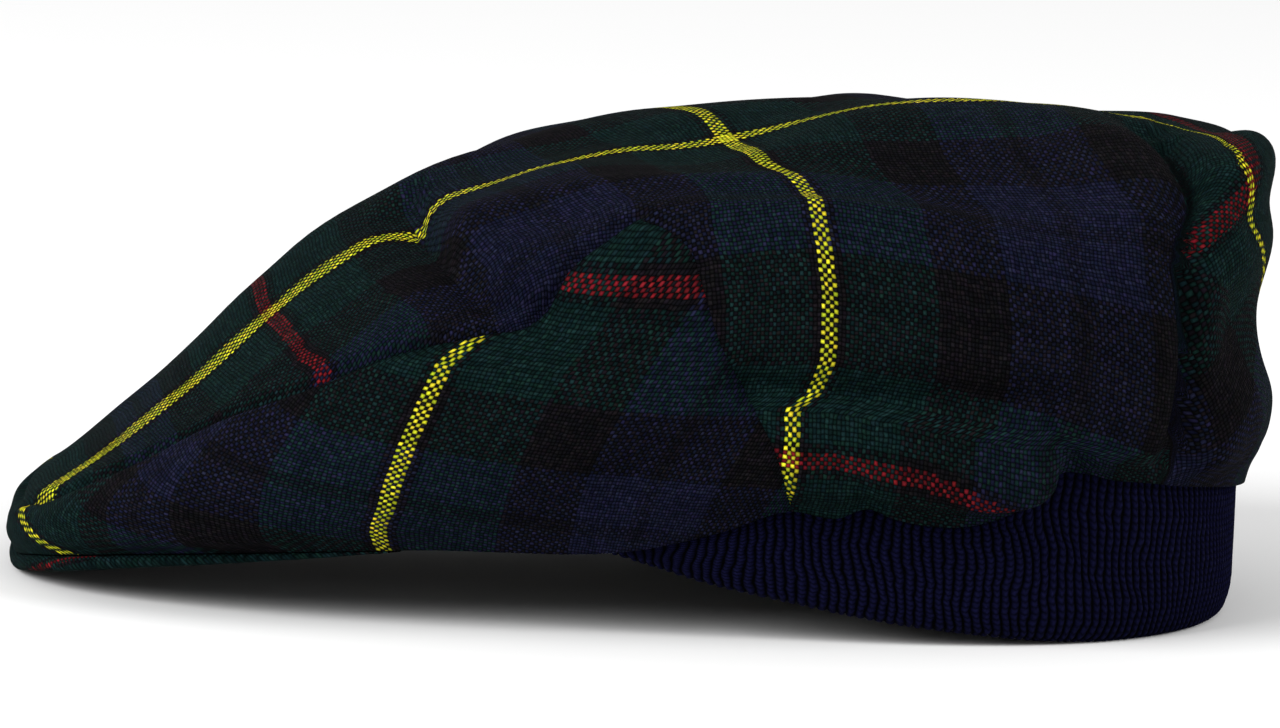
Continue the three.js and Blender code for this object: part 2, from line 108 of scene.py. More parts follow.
# Heights of the rings by plan angle from the front. Columns: angle, crest, brow, shoulder, bulge, tuck, hem.
SECTIONS = np.array([
    (0, 102.8, 82.2, 34.8, 16.5, 9.5, 4),
    (10, 102.6, 80.5, 35.8, 19.2, 12.5, 7.4),
    (20, 102.3, 82.5, 42.5, 25.2, 17, 12),
    (38, 102.2, 93.5, 66.5, 41.8, 27, 17.6),
    (58, 102.8, 96.7, 87.2, 54, 35, 19.4),
    (78, 104.6, 97.3, 94, 62, 39.5, 27.5),
    (104, 107, 94.8, 89.8, 64, 41, 28),
    (120, 108, 97, 89.2, 65.5, 43.5, 33.5),
    (140, 108.8, 103, 94, 67.5, 44.5, 32.5),
    (180, 109.4, 105.6, 99.5, 69.5, 44.5, 28.5),
])

# Seam between the top and a side panel: along the front as (angle, ring), then down behind the ear as (ring, angle).
FRONT_SEAM = np.array([
    (0, 4.15), (8, 3.92), (14, 3.55), (20, 3.13), (26, 3.09), (33, 3.15), (40, 3.25), (46, 3.34),
    (50.5, 3.36), (53, 3.13), (55.5, 2.96), (59, 2.74),
])
BACK_SEAM = np.array([
    (2.74, 59), (2.96, 62), (3.22, 66), (3.47, 68), (3.77, 70.2), (4.06, 72.8), (4.44, 75.3),
    (4.76, 77.2), (5.68, 79), (6, 79.3),
])
SEAM_TOP_ANGLE = 59.0
SEAM_TOP_RING = 2.74

# Folds of the crown: those of the solids first, then the finer ones of the cloth alone.
FOLDS = (
    Fold("front dent", -3.2, 7, ((12, 1.88), (20.5, 2.01), (31, 2.31), (38.8, 2.68), (45.5, 3.12), (51, 3.3))),
    Fold("front roll", 2.2, 8, ((6.5, 1.8), (26.5, 2.02), (38, 2.38), (45.5, 2.7), (50.5, 2.95))),
    Fold("left ridge", 1.5, 6.5, ((36, 2.29), (45.8, 2.04), (62, 1.95), (87.5, 1.9), (95.5, 2.05), (98.6, 2.77))),
    Fold("left shoulder line", -1.1, 4.5, ((97, 2.85), (106.4, 2.75), (114.6, 2.79), (124.9, 2.95), (130.7, 3.3))),
    Fold("left hollow", -2.6, 20, ((18, 1.15), (40, 0.95))),
    Fold("left crown swell", 2.9, 22, ((96, 0.85), (120, 0.9), (144, 1))),
    Fold("left crease", -3.4, 5.5, ((72.8, 4.1), (80, 4.23), (96.5, 4.32), (113.5, 4.42))),
    Fold("left puff", 4.2, 10, ((82, 4.95), (96, 5.1), (109, 5.25))),
    Fold("left upper puff", 1.6, 13, ((78, 3.75), (100, 3.85))),
    Fold("left pleat", -3.8, 5.5, (
        (168, 1.64), (159, 1.73), (149, 2.03), (141.7, 2.48), (134.5, 2.93), (132, 3.25), (134.5, 4), (133.9, 5.25))),
    Fold("left side wrinkle", -1.9, 6.5, ((60, 4.98), (68, 4.78), (75, 4.5))),
    Fold("left side swell", 1.7, 11, ((54, 4.35), (66, 4.2))),
    Fold("left front swell", 1.6, 14, ((22, 4.5), (38, 4.7))),
    Fold("left soft line", -1.3, 7, ((117, 3.3), (120, 4.2))),
    Fold("back corner", 3.6, 7, ((148, 2.78), (170, 2.8))),
    Fold("back notch", -1.8, 6, ((148, 3.2), (180, 3.22), (212, 3.2))),
    Fold("back roll", 0.8, 7, ((146, 3.42), (180, 3.45), (212, 3.42))),
    Fold("back waist", -3.2, 12, ((146, 4.05), (180, 4.08), (212, 4.05))),
    Fold("back low roll", 2.4, 8, ((144, 4.78), (180, 4.82), (214, 4.78))),
    Fold("right front slump", -4.2, 18, ((-16, 3.4), (-19, 2.95), (-21, 2.7))),
    Fold("right brow slump", -5.8, 22, ((-36, 2.3), (-50, 2.02), (-68, 1.9))),
    Fold("right crown slump", -3.4, 28, ((-75, 1.15), (-105, 1), (-145, 0.98))),
    Fold("right dent", -2.4, 8, ((-22, 2.1), (-39, 2.68), (-51, 3.3))),
    Fold("right ridge", 1.2, 8, ((-42, 2.1), (-62, 1.95), (-86, 1.9))),
    Fold("right crease", -3, 6, ((-74, 4.2), (-92, 4.3), (-112, 4.42))),
    Fold("right puff", 3.8, 10, ((-84, 5), (-108, 5.2))),
    Fold("right pleat", -3.4, 6, ((-158, 1.75), (-146, 2.2), (-134, 2.95), (-133, 3.6), (-134, 5.3))),
    Fold("right side wrinkle", -1.7, 7, ((-58, 4.9), (-73, 4.55))),
    Fold("left pleat core", -3.4, 2.6, (
        (164, 1.79), (152.7, 1.99), (143.2, 2.43), (138.2, 2.81), (134.6, 3.2), (133.8, 3.45), (135, 4), (135, 4.9))),
    Fold("left crease core", -1.2, 2.6, ((74, 4.12), (82, 4.25), (97, 4.33), (108, 4.4))),
    Fold("left pinch", -3.4, 4.2, ((118.5, 5.9), (117, 5.2), (114, 4.7))),
    Fold("left puff end", 1.8, 6, ((106, 5.35), (112, 5.45))),
    Fold("left wall fold", -1.2, 4, ((119, 5.2), (122, 4.4), (121, 3.8))),
    Fold("left hem tongue", -1.4, 3.2, ((90.5, 5.95), (88.5, 5.3), (84, 4.9))),
    Fold("left hollow lift", 1.0, 9, ((20.5, 1.38), (25, 1.1))),
    Fold("back hem roll", 1.9, 5, ((142, 5.22), (180, 5.26), (218, 5.22))),
    Fold("front dent core", -1.7, 2.6, ((20.5, 2.01), (31, 2.31), (38.8, 2.68), (45.5, 3.12), (50, 3.28))),
)

SETT_HALF = 117.5
# Coloured lines of a side panel, each with its place in the sett.
SIDE_LINES = (
    ClothLine("yellow line", Yarns.CROSSWISE, 0, (
        (46.2, 3.32), (43.5, 3.51), (42.8, 3.75), (42, 4.09), (40.8, 4.55), (39.6, 5), (37.2, 5.86))),
    ClothLine("rear black edge", Yarns.CROSSWISE, 24.75, ((52.7, 3.91), (51.8, 4.36), (49.1, 5.64))),
    ClothLine("front black edge", Yarns.CROSSWISE, -24.75, ((32.2, 3.39), (33, 4.21), (31, 5.25))),
    ClothLine("front navy edge", Yarns.CROSSWISE, -41.25, ((23.8, 3.31), (25.8, 3.88), (25.5, 4.57))),
    ClothLine("red line", Yarns.LENGTHWISE, 117.5, ((53.2, 3.14), (57, 3.26), (60.8, 3.34), (67.5, 3.47))),
    ClothLine("thin black line", Yarns.LENGTHWISE, 58.75, (
        (33, 4.3), (36, 4.47), (39, 4.68), (42, 4.88), (44.2, 5.09), (46.5, 5.3))),
    ClothLine("nose yellow line", Yarns.LENGTHWISE, 0, (
        (5.1, 4.1), (8.7, 4.53), (10.6, 5.11), (12.8, 5.45), (14.2, 5.87))),
    ClothLine("nose black edge", Yarns.LENGTHWISE, 24.75, ((12.4, 3.69), (18, 4.25), (20.2, 5.23))),
)

# Top panel: place in the sett by distance over the cloth from the crown's middle. Columns: reach, place.
ACROSS_TOP = np.array([
    (-200, -228), (28, 0), (79, 51), (94, 67.5), (103, 76.75), (127.5, 93.25), (142.3, 113.25), (147, 117.5),
    (190, 159),
])
# Lie of the crosswise lines of the top panel. Columns: reach, Y of the yellow line, offset of the front red line.
CROSS_LIE = np.array([
    (-120, -24, -4), (0.5, 8, 12.2), (14, 12, 12.4), (28.7, 15, 13.8), (59.6, 19, 18.8), (78.4, 26, 25.5),
    (94, 27, 29), (103.5, 29, 29), (111.8, 30, 30), (124.6, 30, 30), (132.8, 28, 30), (136, 23, 30), (157, 23, 30),
])
# Lie of the lengthwise yellow line: across X by Y on the top, and plan angle by ring behind the corner pleat.
TOP_YELLOW = np.array([
    (-134, 22), (-123, 25), (-104, 29), (-91, 27), (-78, 25.5), (-69, 30), (-61, 31.5), (-56, 34.5), (-53, 38),
    (-51.5, 32.5), (-36, 32), (-24, 30.5), (-6, 28.5), (14, 27), (27, 29), (39, 32), (51, 30), (64, 27),
    (78, 19), (90, 8), (104, 2), (116, -2),
])
BACK_YELLOW = np.array([
    (1.8, 180), (1.91, 172.6), (2.08, 167.7), (2.35, 156.2), (2.68, 149.4), (2.99, 148), (3.18, 148.3), (3.37, 150),
    (3.57, 154.2), (3.7, 158), (4.1, 164), (4.8, 168), (6, 170),
])
# Corner pleat, where the cloth of the wall tucks under the cloth of the back. Columns: ring, angle.
PLEAT = np.array([
    (1.64, 172), (1.73, 168), (1.83, 161), (1.99, 152.7), (2.19, 147.8), (2.43, 143.2), (2.81, 138.2), (3.2, 134.6),
    (3.45, 133.8), (3.7, 134.2), (4.03, 135), (5.43, 135),
])

# How far the hem on the wearer's left lifts and hangs where the puff gathers. Columns: angle, lift.
HEM_LIFT = np.array([
    (70, 0), (79, 1.6), (86, 0), (90, 2.4), (94, 0.8), (100, -0.6), (107, -1.3), (112, -0.6), (115, 0.6), (118, 5),
    (121, 4.6), (126, 2.6), (133, 1.8), (145, 0.5), (156, 0),
])

# Lower edge of the knit band. Columns: angle, height.
KNIT_BOTTOM = np.array([
    (54, 18.4), (60, 16), (68, 12.2), (80, 8.2), (92, 5), (104, 2.7), (116, 1), (128, 0), (180, 0),
])


def table_curve(table: Array, column: int, at: Array) -> Array:
    """Smooth curve through a table: cubic pieces whose slopes at the knots are distance-weighted means.

    Args:
        table: Rows of knots, with the place in column 0.
        column: Column of the wanted values.
        at: Places to read.

    Returns:
        Values at those places, level beyond both ends.
    """
    place, value = table[:, 0], table[:, column]
    step = np.diff(place)
    rise = np.diff(value) / step
    slope = np.zeros(len(place))
    slope[1:-1] = (rise[:-1] * step[1:] + rise[1:] * step[:-1]) / (step[1:] + step[:-1])
    x = np.clip(at, place[0], place[-1])
    i = np.clip(np.searchsorted(place, x, side="right") - 1, 0, len(place) - 2)
    t = (x - place[i]) / step[i]
    return (
        (2 * t**3 - 3 * t**2 + 1) * value[i]
        + (t**3 - 2 * t**2 + t) * step[i] * slope[i]
        + (3 * t**2 - 2 * t**3) * value[i + 1]
        + (t**3 - t**2) * step[i] * slope[i + 1]
    )


def ease(low: float, high: float, at: Array) -> Array:
    """Smooth step from 0 at low to 1 at high."""
    t = np.clip((at - low) / (high - low), 0, 1)
    return t * t * (3 - 2 * t)


def line_distance(point: Array, line: Array) -> Array:
    """Shortest distance from each point to a line of straight pieces."""
    best = np.full(point.shape[:-1], np.inf)
    for start, end in zip(line[:-1], line[1:]):
        along = end - start
        t = np.clip(((point - start) @ along) / (along @ along), 0, 1)
        best = np.minimum(best, np.linalg.norm(point - (start + t[..., None] * along), axis=-1))
    return best


def arc_length(line: Array) -> Array:
    """Distance along a line of points up to each of them."""
    return np.concatenate([[0], np.cumsum(np.linalg.norm(np.diff(line, axis=0), axis=1))])


def read(table: Array, at: Array, column: int = 1) -> Array:
    """Straight-line reading of a table by its first column."""
    return np.interp(at, table[:, 0], table[:, column])


def set_on_frame(piece: bpy.types.Object, node: str, material: bpy.types.Material) -> None:
    """Gives a piece its finish and its body, hides the frame node that it stands for, and reports it."""
    piece.data.materials.append(material)
    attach(piece, "root")
    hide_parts(node)
    LOG.info("%s: %d faces", piece.name, len(piece.data.polygons))


@dataclass
class CrownForm:
    """The crown's cloth as a function of plan angle and ring, in millimetres."""

    centre: Triple = (-0.312, 40.213, 109.4)
    seam_depth: float = 2.3
    seam_back_share: float = 0.5
    seam_width: float = 1.7
    seam_nose_share: float = 0.45
    seam_nose_reach: float = 34.0
    hem_fade: float = 0.6
    slack: float = 0.3
    fold_lines: list[tuple[Fold, Array]] = field(default_factory=list)
    seam_lines: list[Array] = field(default_factory=list)

    def __post_init__(self) -> None:
        """Lays the fold and seam lines on the smooth crown."""
        for fold in FOLDS:
            path = np.array(fold.path, float)
            self.fold_lines.append((fold, self.smooth(path[:, 0], path[:, 1])))
        front = np.arange(0, SEAM_TOP_ANGLE, 1.5)
        back = np.arange(SEAM_TOP_RING, HEM + 0.001, 0.1)
        for side in Side:
            over = self.smooth(side.value * front, self.front_seam(front))
            down = self.smooth(side.value * self.back_seam(back), back)
            self.seam_lines.append(np.concatenate([over, down]))

    def front_seam(self, angle: Array) -> Array:
        """Ring of the front seam at a plan angle."""
        return table_curve(FRONT_SEAM, 1, np.abs(angle))

    def back_seam(self, ring: Array) -> Array:
        """Plan angle of the back seam at a ring."""
        return table_curve(BACK_SEAM, 1, ring)

    def reach(self, ring: Ring, angle: Array) -> Array:
        """Plan reach of a ring: a superellipse with its own front and back halves."""
        cos, sin = np.cos(np.radians(angle)), np.sin(np.radians(angle))
        along = np.where(cos > 0, ring.front, ring.back)
        square = np.where(cos > 0, ring.square_front, ring.square_back)
        return (np.abs(cos / along) ** square + np.abs(sin / ring.half) ** square) ** (-1 / square)

    def plan(self, angle: Array, reach: Array, height: Array) -> Array:
        """Point at a plan angle from the front, a reach from the crown's middle and a height."""
        turn = np.radians(angle)
        x = self.centre[0] + reach * np.sin(turn)
        y = self.centre[1] - reach * np.cos(turn)
        return np.stack(np.broadcast_arrays(x, y, height), -1).copy()

    def hem_height(self, angle: Array) -> Array:
        """Height of the hem at a plan angle."""
        turn = np.mod(angle, 360)
        return table_curve(SECTIONS, HEM, np.where(turn > 180, 360 - turn, turn)) + table_curve(HEM_LIFT, 1, turn)

    def ring_points(self, angle: Array) -> Array:
        """Points of the crown's middle and its six rings along a ray."""
        turn = np.mod(angle, 360)
        folded = np.where(turn > 180, 360 - turn, turn)
        rows = [self.plan(angle, 0 * angle, self.centre[2] + 0 * angle)]
        for k, ring in enumerate(RINGS):
            rows.append(self.plan(angle, self.reach(ring, angle), table_curve(SECTIONS, k + 1, folded)))
        rows[HEM][..., 2] = self.hem_height(angle)
        return np.stack(rows)

    def smooth(self, angle: Array, ring: Array) -> Array:
        """Crown without folds: a Catmull-Rom curve through the rings of each ray.

        Args:
            angle: Plan angles from the front in degrees.
            ring: Ring numbers, 0 at the middle and 6 at the hem.

        Returns:
            Points in millimetres.
        """
        angle, ring = np.broadcast_arrays(np.asarray(angle, float), np.asarray(ring, float))
        flat, at = angle.ravel(), ring.ravel()
        rows = self.ring_points(flat)
        across = self.ring_points(flat + 180)[1]
        rows = np.concatenate([across[None], rows, (2 * rows[HEM] - rows[HEM - 1])[None]])
        i = np.clip(np.floor(at).astype(int), 0, HEM - 1)
        t = (at - i)[:, None]
        n = np.arange(len(flat))
        point = (
            rows[i, n] * (-t + 2 * t**2 - t**3)
            + rows[i + 1, n] * (2 - 5 * t**2 + 3 * t**3)
            + rows[i + 2, n] * (t + 4 * t**2 - 3 * t**3)
            + rows[i + 3, n] * (-(t**2) + t**3)
        ) / 2
        return point.reshape(angle.shape + (3,))

    def normal(self, angle: Array, ring: Array) -> Array:
        """Outward unit normal of the smooth crown, from small steps along the ray and round it."""
        at = np.maximum(ring, 0.04)
        round_ = self.smooth(angle + 0.5, at) - self.smooth(angle - 0.5, at)
        out = self.smooth(angle, at + 0.02) - self.smooth(angle, at - 0.02)
        normal = np.cross(out, round_)
        return normal / np.linalg.norm(normal, axis=-1, keepdims=True)

    def relief(self, point: Array, ring: Array) -> Array:
        """Height of the folds: bell curves of the distance to each fold line, less the seam groove, plus slack."""
        height = np.zeros(point.shape[:-1])
        for fold, line in self.fold_lines:
            height += fold.height * np.exp(-((line_distance(point, line) / fold.width) ** 2))
        groove = np.minimum(*(line_distance(point, line) for line in self.seam_lines)) / self.seam_width
        nose = np.clip(np.abs(point[..., 0] - self.centre[0]) / self.seam_nose_reach, 0, 1)
        x, y, z = np.moveaxis(point, -1, 0)
        depth = self.seam_depth * (self.seam_nose_share + (1 - self.seam_nose_share) * nose)
        height -= depth * (1 - (1 - self.seam_back_share) * ease(-25, 0, y)) * np.exp(-(groove**2))
        height += self.slack * (
            np.sin(0.13 * x + 0.09 * y + 0.05 * z)
            + 0.7 * np.sin(0.07 * x - 0.16 * y + 0.19 * z + 1.3)
            + 0.5 * np.sin(-0.21 * x + 0.12 * y + 0.23 * z + 4.1)
        )
        return height * ease(0, self.hem_fade, HEM - ring)

    def cloth(self, angle: Array, ring: Array) -> Array:
        """Outer face of the cloth: the smooth crown moved along its normal by the relief."""
        angle, ring = np.broadcast_arrays(np.asarray(angle, float), np.asarray(ring, float))
        point = self.smooth(angle, ring)
        return point + self.normal(angle, ring) * self.relief(point, np.minimum(ring, HEM))[..., None]


@dataclass
class Surface:
    """A mesh in the making: points in millimetres, faces, and places in the sett and among the threads."""

    points: Array
    quads: Array
    triangles: Array
    cloth: Array

    def corners(self) -> list[Array]:
        """The faces' corner columns, quads first."""
        return [self.quads, self.triangles]

    def normals(self) -> Array:
        """Unit normal of each point: the mean of its faces' normals, weighted by area."""
        total = np.zeros_like(self.points)
        for faces in self.corners():
            p = self.points[faces]
            flat = np.cross(p[:, 2] - p[:, 0], p[:, -1] - p[:, 1])
            for k in range(faces.shape[1]):
                np.add.at(total, faces[:, k], flat)
        return total / np.maximum(np.linalg.norm(total, axis=1, keepdims=True), 1e-12)

    def rim(self) -> Array:
        """Edges that only one face uses, in that face's direction."""
        edges = [
            np.stack([faces[:, k], faces[:, (k + 1) % faces.shape[1]]], 1)
            for faces in self.corners()
            for k in range(faces.shape[1])
        ]
        edges = np.concatenate(edges)
        key = edges.min(1) * len(self.points) + edges.max(1)
        _, first, count = np.unique(key, return_index=True, return_counts=True)
        return edges[first[count == 1]]

    def walled(self, thickness: float, bulge: float, inset: float, steps: int = 4) -> "Surface":
        """Closed cloth wall: the face, its inner partner a thickness below, and a rounded rim between them.

        The rim's profile is half an ellipse: cosine across the thickness and sine times the bulge outward.

        Args:
            thickness: Wall thickness.
            bulge: How far the rounded rim stands out.
            inset: How far the rim is first drawn back from the outline, below zero where it runs past it.
            steps: Faces across the rim.

        Returns:
            The closed surface.
        """
        normal = self.normals()
        edges = self.rim()
        outward = np.zeros_like(self.points)
        run = self.points[edges[:, 1]] - self.points[edges[:, 0]]
        for k in range(2):
            np.add.at(outward, edges[:, k], np.cross(run, normal[edges[:, k]]))
        rim = np.unique(edges)
        out = outward[rim] / np.linalg.norm(outward[rim], axis=1, keepdims=True)
        outer = self.points.copy()
        outer[rim] -= out * inset
        inner = outer - normal * thickness
        count = len(outer)
        place = np.zeros(count, int)
        place[rim] = np.arange(len(rim))
        points, cloth, rows = [outer, inner], [self.cloth, self.cloth], [edges]
        for k in range(1, steps):
            turn = math.pi * k / steps
            drop = normal[rim] * (thickness / 2 * (1 - math.cos(turn)))
            points.append(outer[rim] - drop + out * (bulge * math.sin(turn)))
            cloth.append(self.cloth[rim])
            rows.append(2 * count + (k - 1) * len(rim) + place[edges])
        rows.append(edges + count)
        strips = [
            np.stack([a[:, 1], a[:, 0], b[:, 0], b[:, 1]], 1) for a, b in zip(rows[:-1], rows[1:])
        ]
        quads = np.concatenate([self.quads, self.quads[:, ::-1] + count, *strips])
        triangles = np.concatenate([self.triangles, self.triangles[:, ::-1] + count])
        return Surface(np.concatenate(points), quads, triangles, np.concatenate(cloth))

    def put(self, name: str) -> bpy.types.Object:
        """Makes the mesh object, with its places in the sett and among the threads as UV maps in millimetres."""
        mesh = bpy.data.meshes.new(name)
        faces = self.quads.tolist() + self.triangles.tolist()
        mesh.from_pydata((self.points * MM).tolist(), [], faces)
        corner = np.empty(len(mesh.loops), np.int32)
        mesh.loops.foreach_get("vertex_index", corner)
        for k, places in enumerate(("cloth", "grain")):
            layer = mesh.uv_layers.new(name=places)
            layer.data.foreach_set("uv", self.cloth[corner, 2 * k:2 * k + 2].astype(np.float32).ravel())
        mesh.polygons.foreach_set("use_smooth", np.ones(len(mesh.polygons), bool))
        mesh.update()
        piece = bpy.data.objects.new(mesh.name, mesh)
        bpy.context.scene.collection.objects.link(piece)
        return piece


def grid_quads(index: Array) -> Array:
    """Quads of a grid of point numbers, with rows going outward and columns going round."""
    a, b, c, d = index[:-1, :-1], index[1:, :-1], index[1:, 1:], index[:-1, 1:]
    return np.stack([a, b, c, d], -1).reshape(-1, 4)


def tube_index(rows: int, columns: int) -> Array:
    """Point numbers of a closed profile carried along, with its first row again at the end."""
    index = np.arange(rows * columns).reshape(rows, columns)
    return np.concatenate([index, index[:1]])


NO_TRIANGLES = np.zeros((0, 3), int)


BUMP_STRENGTH = 0.7
CLOTH_ROUGHNESS = 0.95
CLOTH_SHINE = 0.02


class Wiring:
    """Adds nodes to a tree and joins them."""

    def __init__(self, tree: bpy.types.NodeTree) -> None:
        """Keeps the tree."""
        self.tree = tree

    def node(self, kind: str, **settings: object) -> bpy.types.Node:
        """A new node with its settings."""
        node = self.tree.nodes.new(kind)
        for key, value in settings.items():
            setattr(node, key, value)
        return node

    def join(self, source: object, target: bpy.types.NodeSocket) -> None:
        """Links a socket to another, or sets a plain value on it."""
        if isinstance(source, bpy.types.NodeSocket):
            self.tree.links.new(source, target)
        else:
            target.default_value = source

    def math(self, operation: str, *values: object) -> bpy.types.NodeSocket:
        """Result of a math node."""
        node = self.node("ShaderNodeMath", operation=operation)
        for value, socket in zip(values, node.inputs):
            self.join(value, socket)
        return node.outputs[0]

    def times(self, first: object, second: object) -> bpy.types.NodeSocket:
        """Product of two values."""
        return self.math("MULTIPLY", first, second)

    def plus(self, first: object, second: object) -> bpy.types.NodeSocket:
        """Sum of two values."""
        return self.math("ADD", first, second)

    def line(self, value: object, slope: object, start: object) -> bpy.types.NodeSocket:
        """A value times a slope, plus a start."""
        return self.math("MULTIPLY_ADD", value, slope, start)

    def parts(self, vector: bpy.types.NodeSocket) -> bpy.types.bpy_prop_collection:
        """The numbers of a vector."""
        node = self.node("ShaderNodeSeparateXYZ")
        self.join(vector, node.inputs[0])
        return node.outputs

    def mix(self, share: object, first: object, second: object, blend: str = "MIX") -> bpy.types.NodeSocket:
        """Result of a colour mix."""
        node = self.node("ShaderNodeMix", data_type="RGBA", blend_type=blend)
        for value, k in ((share, 0), (first, 6), (second, 7)):
            self.join(value, node.inputs[k])
        return node.outputs[2]

    def scaled(self, colour: object, factor: object) -> bpy.types.NodeSocket:
        """A colour times a number."""
        node = self.node("ShaderNodeVectorMath", operation="SCALE")
        self.join(colour, node.inputs[0])
        self.join(factor, node.inputs["Scale"])
        return node.outputs[0]

    def noise(self, at: object, scale: float, detail: float = 2.0) -> bpy.types.Node:
        """A noise texture read at a place."""
        node = self.node("ShaderNodeTexNoise")
        self.join(at, node.inputs["Vector"])
        node.inputs["Scale"].default_value = scale
        node.inputs["Detail"].default_value = detail
        return node

    def surface(self, colour: bpy.types.NodeSocket, height: bpy.types.NodeSocket, relief: float) -> None:
        """Joins a colour and a height, with its relief in metres, to the material's shader as dull cloth."""
        shader = self.tree.nodes["Principled BSDF"]
        bump = self.node("ShaderNodeBump")
        bump.inputs["Strength"].default_value = BUMP_STRENGTH
        bump.inputs["Distance"].default_value = relief
        self.join(height, bump.inputs["Height"])
        self.join(colour, shader.inputs["Base Color"])
        self.join(bump.outputs[0], shader.inputs["Normal"])
        shader.inputs["Roughness"].default_value = CLOTH_ROUGHNESS
        shader.inputs["Specular IOR Level"].default_value = CLOTH_SHINE


@dataclass(frozen=True)
class Dyes:
    """Linear colours of the dyed yarns."""

    yellow: Triple = (0.45, 0.45, 0.018)
    red: Triple = (0.095, 0.006, 0.009)
    green: Triple = (0.0038, 0.0132, 0.013)
    navy: Triple = (0.0072, 0.0084, 0.0225)
    ink: Triple = (0.0056, 0.006, 0.0125)
    black: Triple = (0.0047, 0.0043, 0.0056)


@dataclass(frozen=True)
class TartanWeave:
    """Plain weave of dyed yarns: a sett that mirrors at its yellow and red lines, over and under threads."""

    dyes: Dyes = Dyes()
    relief: float = 0.00035

    def count(self) -> tuple[tuple[int, Triple], ...]:
        """Thread count of the half sett, from the middle of the yellow line to the middle of the red line."""
        d = self.dyes
        return (
            (2, d.yellow), (2, d.black), (22, d.green), (18, d.black), (16, d.navy), (5, d.ink), (16, d.navy),
            (18, d.black), (22, d.green), (2, d.black), (2, d.red),
        )

    @property
    def thread(self) -> float:
        """Spacing of the threads in millimetres."""
        return SETT_HALF / sum(threads for threads, _ in self.count())

    def bands(self) -> list[tuple[float, Triple]]:
        """Start of each colour band as a share of the half sett, and its dye."""
        threads = np.array([n for n, _ in self.count()])
        starts = (np.cumsum(threads) - threads) / threads.sum()
        return [(float(start), colour) for start, (_, colour) in zip(starts, self.count())]

    def yarn_colour(self, wires: Wiring, number: object, lead: object, seed: float) -> bpy.types.NodeSocket:
        """Colour of one yarn: its band in the sett, by its number and lead, times a brightness of its own."""
        place = wires.line(wires.plus(number, 0.5), self.thread, lead)
        share = wires.math("DIVIDE", wires.math("PINGPONG", place, SETT_HALF), SETT_HALF)
        ramp = wires.node("ShaderNodeValToRGB")
        ramp.color_ramp.interpolation = "CONSTANT"
        stops = self.bands()
        while len(ramp.color_ramp.elements) < len(stops):
            ramp.color_ramp.elements.new(1.0)
        for element, (start, colour) in zip(ramp.color_ramp.elements, stops):
            element.position = start
            element.color = (*colour, 1)
        wires.join(share, ramp.inputs[0])
        chance = wires.node("ShaderNodeTexWhiteNoise", noise_dimensions="1D")
        wires.join(wires.plus(number, seed), chance.inputs["W"])
        bright = wires.line(chance.outputs["Value"], 0.5, 0.75)
        return wires.scaled(ramp.outputs[0], bright)

    def group(self) -> bpy.types.NodeTree:
        """The weave as a shader node group: from places in the sett and among the threads to colour and height, the
        colour with painted shade in the gaps between threads and painted glints on some crossings.
        """
        tree = bpy.data.node_groups.new("tartan_weave", "ShaderNodeTree")
        face = tree.interface
        for name, way, kind in (
            ("Cloth", "INPUT", "Vector"), ("Grain", "INPUT", "Vector"),
            ("Color", "OUTPUT", "Color"), ("Height", "OUTPUT", "Float"),
        ):
            face.new_socket(name, in_out=way, socket_type="NodeSocket" + kind)
        wires = Wiring(tree)
        start = wires.node("NodeGroupInput")
        lead = wires.node("ShaderNodeVectorMath", operation="SUBTRACT")
        wires.join(start.outputs["Cloth"], lead.inputs[0])
        wires.join(start.outputs["Grain"], lead.inputs[1])
        leads = wires.parts(lead.outputs[0])
        at = start.outputs["Grain"]
        wander = wires.noise(at, 0.06)
        slub = wires.noise(at, 0.5)
        for noise, size in ((wander, 1.2), (slub, 0.75)):
            shift = wires.node("ShaderNodeVectorMath", operation="MULTIPLY_ADD")
            wires.join(noise.outputs["Color"], shift.inputs[0])
            shift.inputs[1].default_value = (size, size, 0)
            wires.join(at, shift.inputs[2])
            at = shift.outputs[0]
        split = wires.parts(shift.outputs[0])
        number, inside = [], []
        for k in range(2):
            at = wires.math("DIVIDE", split[k], self.thread)
            number.append(wires.math("FLOOR", at))
            inside.append(wires.math("FRACT", at))
        over = wires.math("FLOORED_MODULO", wires.plus(*number), 2.0)
        cross = self.yarn_colour(wires, number[0], leads[0], 17.0)
        length = self.yarn_colour(wires, number[1], leads[1], 523.0)
        colour = wires.mix(over, length, cross)
        bow = [wires.line(f, 2.0, -1.0) for f in inside]
        square = [wires.times(b, b) for b in bow]
        flip = wires.math("SUBTRACT", 1.0, over)
        across = wires.plus(wires.times(square[0], over), wires.times(square[1], flip))
        along = wires.plus(wires.times(square[1], over), wires.times(square[0], flip))
        height = wires.times(
            wires.math("SQRT", wires.math("SUBTRACT", 1.0, wires.times(across, 0.95))),
            wires.math("SUBTRACT", 1.0, wires.times(along, 0.6)),
        )
        fuzz = wires.noise(shift.outputs[0], 2.6, 3.0)
        cell = wires.node("ShaderNodeCombineXYZ")
        wires.join(number[0], cell.inputs[0])
        wires.join(number[1], cell.inputs[1])
        chance = wires.node("ShaderNodeTexWhiteNoise", noise_dimensions="2D")
        wires.join(cell.outputs[0], chance.inputs["Vector"])
        # painted shade: each thread's colour is darker toward its edges and in the gaps between threads, by its
        # height
        shade = wires.line(wires.math("POWER", height, 1.6), 0.95, 0.05)
        shade = wires.times(shade, wires.line(fuzz.outputs["Fac"], 0.9, 0.55))
        # random brighter crossings: uneven yarn tone, with the brightest ones painted as glints of fibre
        tone_and_glint = wires.math("POWER", chance.outputs["Value"], 2.0)
        shade = wires.times(shade, wires.line(tone_and_glint, 0.75, 0.75))
        tint = wires.mix(0.14, (0.5, 0.5, 0.5, 1), chance.outputs["Color"])
        colour = wires.mix(1.0, wires.scaled(colour, 2.0), tint, "MULTIPLY")
        end = wires.node("NodeGroupOutput")
        # the output colour carries the painted shade and the painted glints
        wires.join(wires.scaled(colour, shade), end.inputs["Color"])
        wires.join(height, end.inputs["Height"])
        return tree

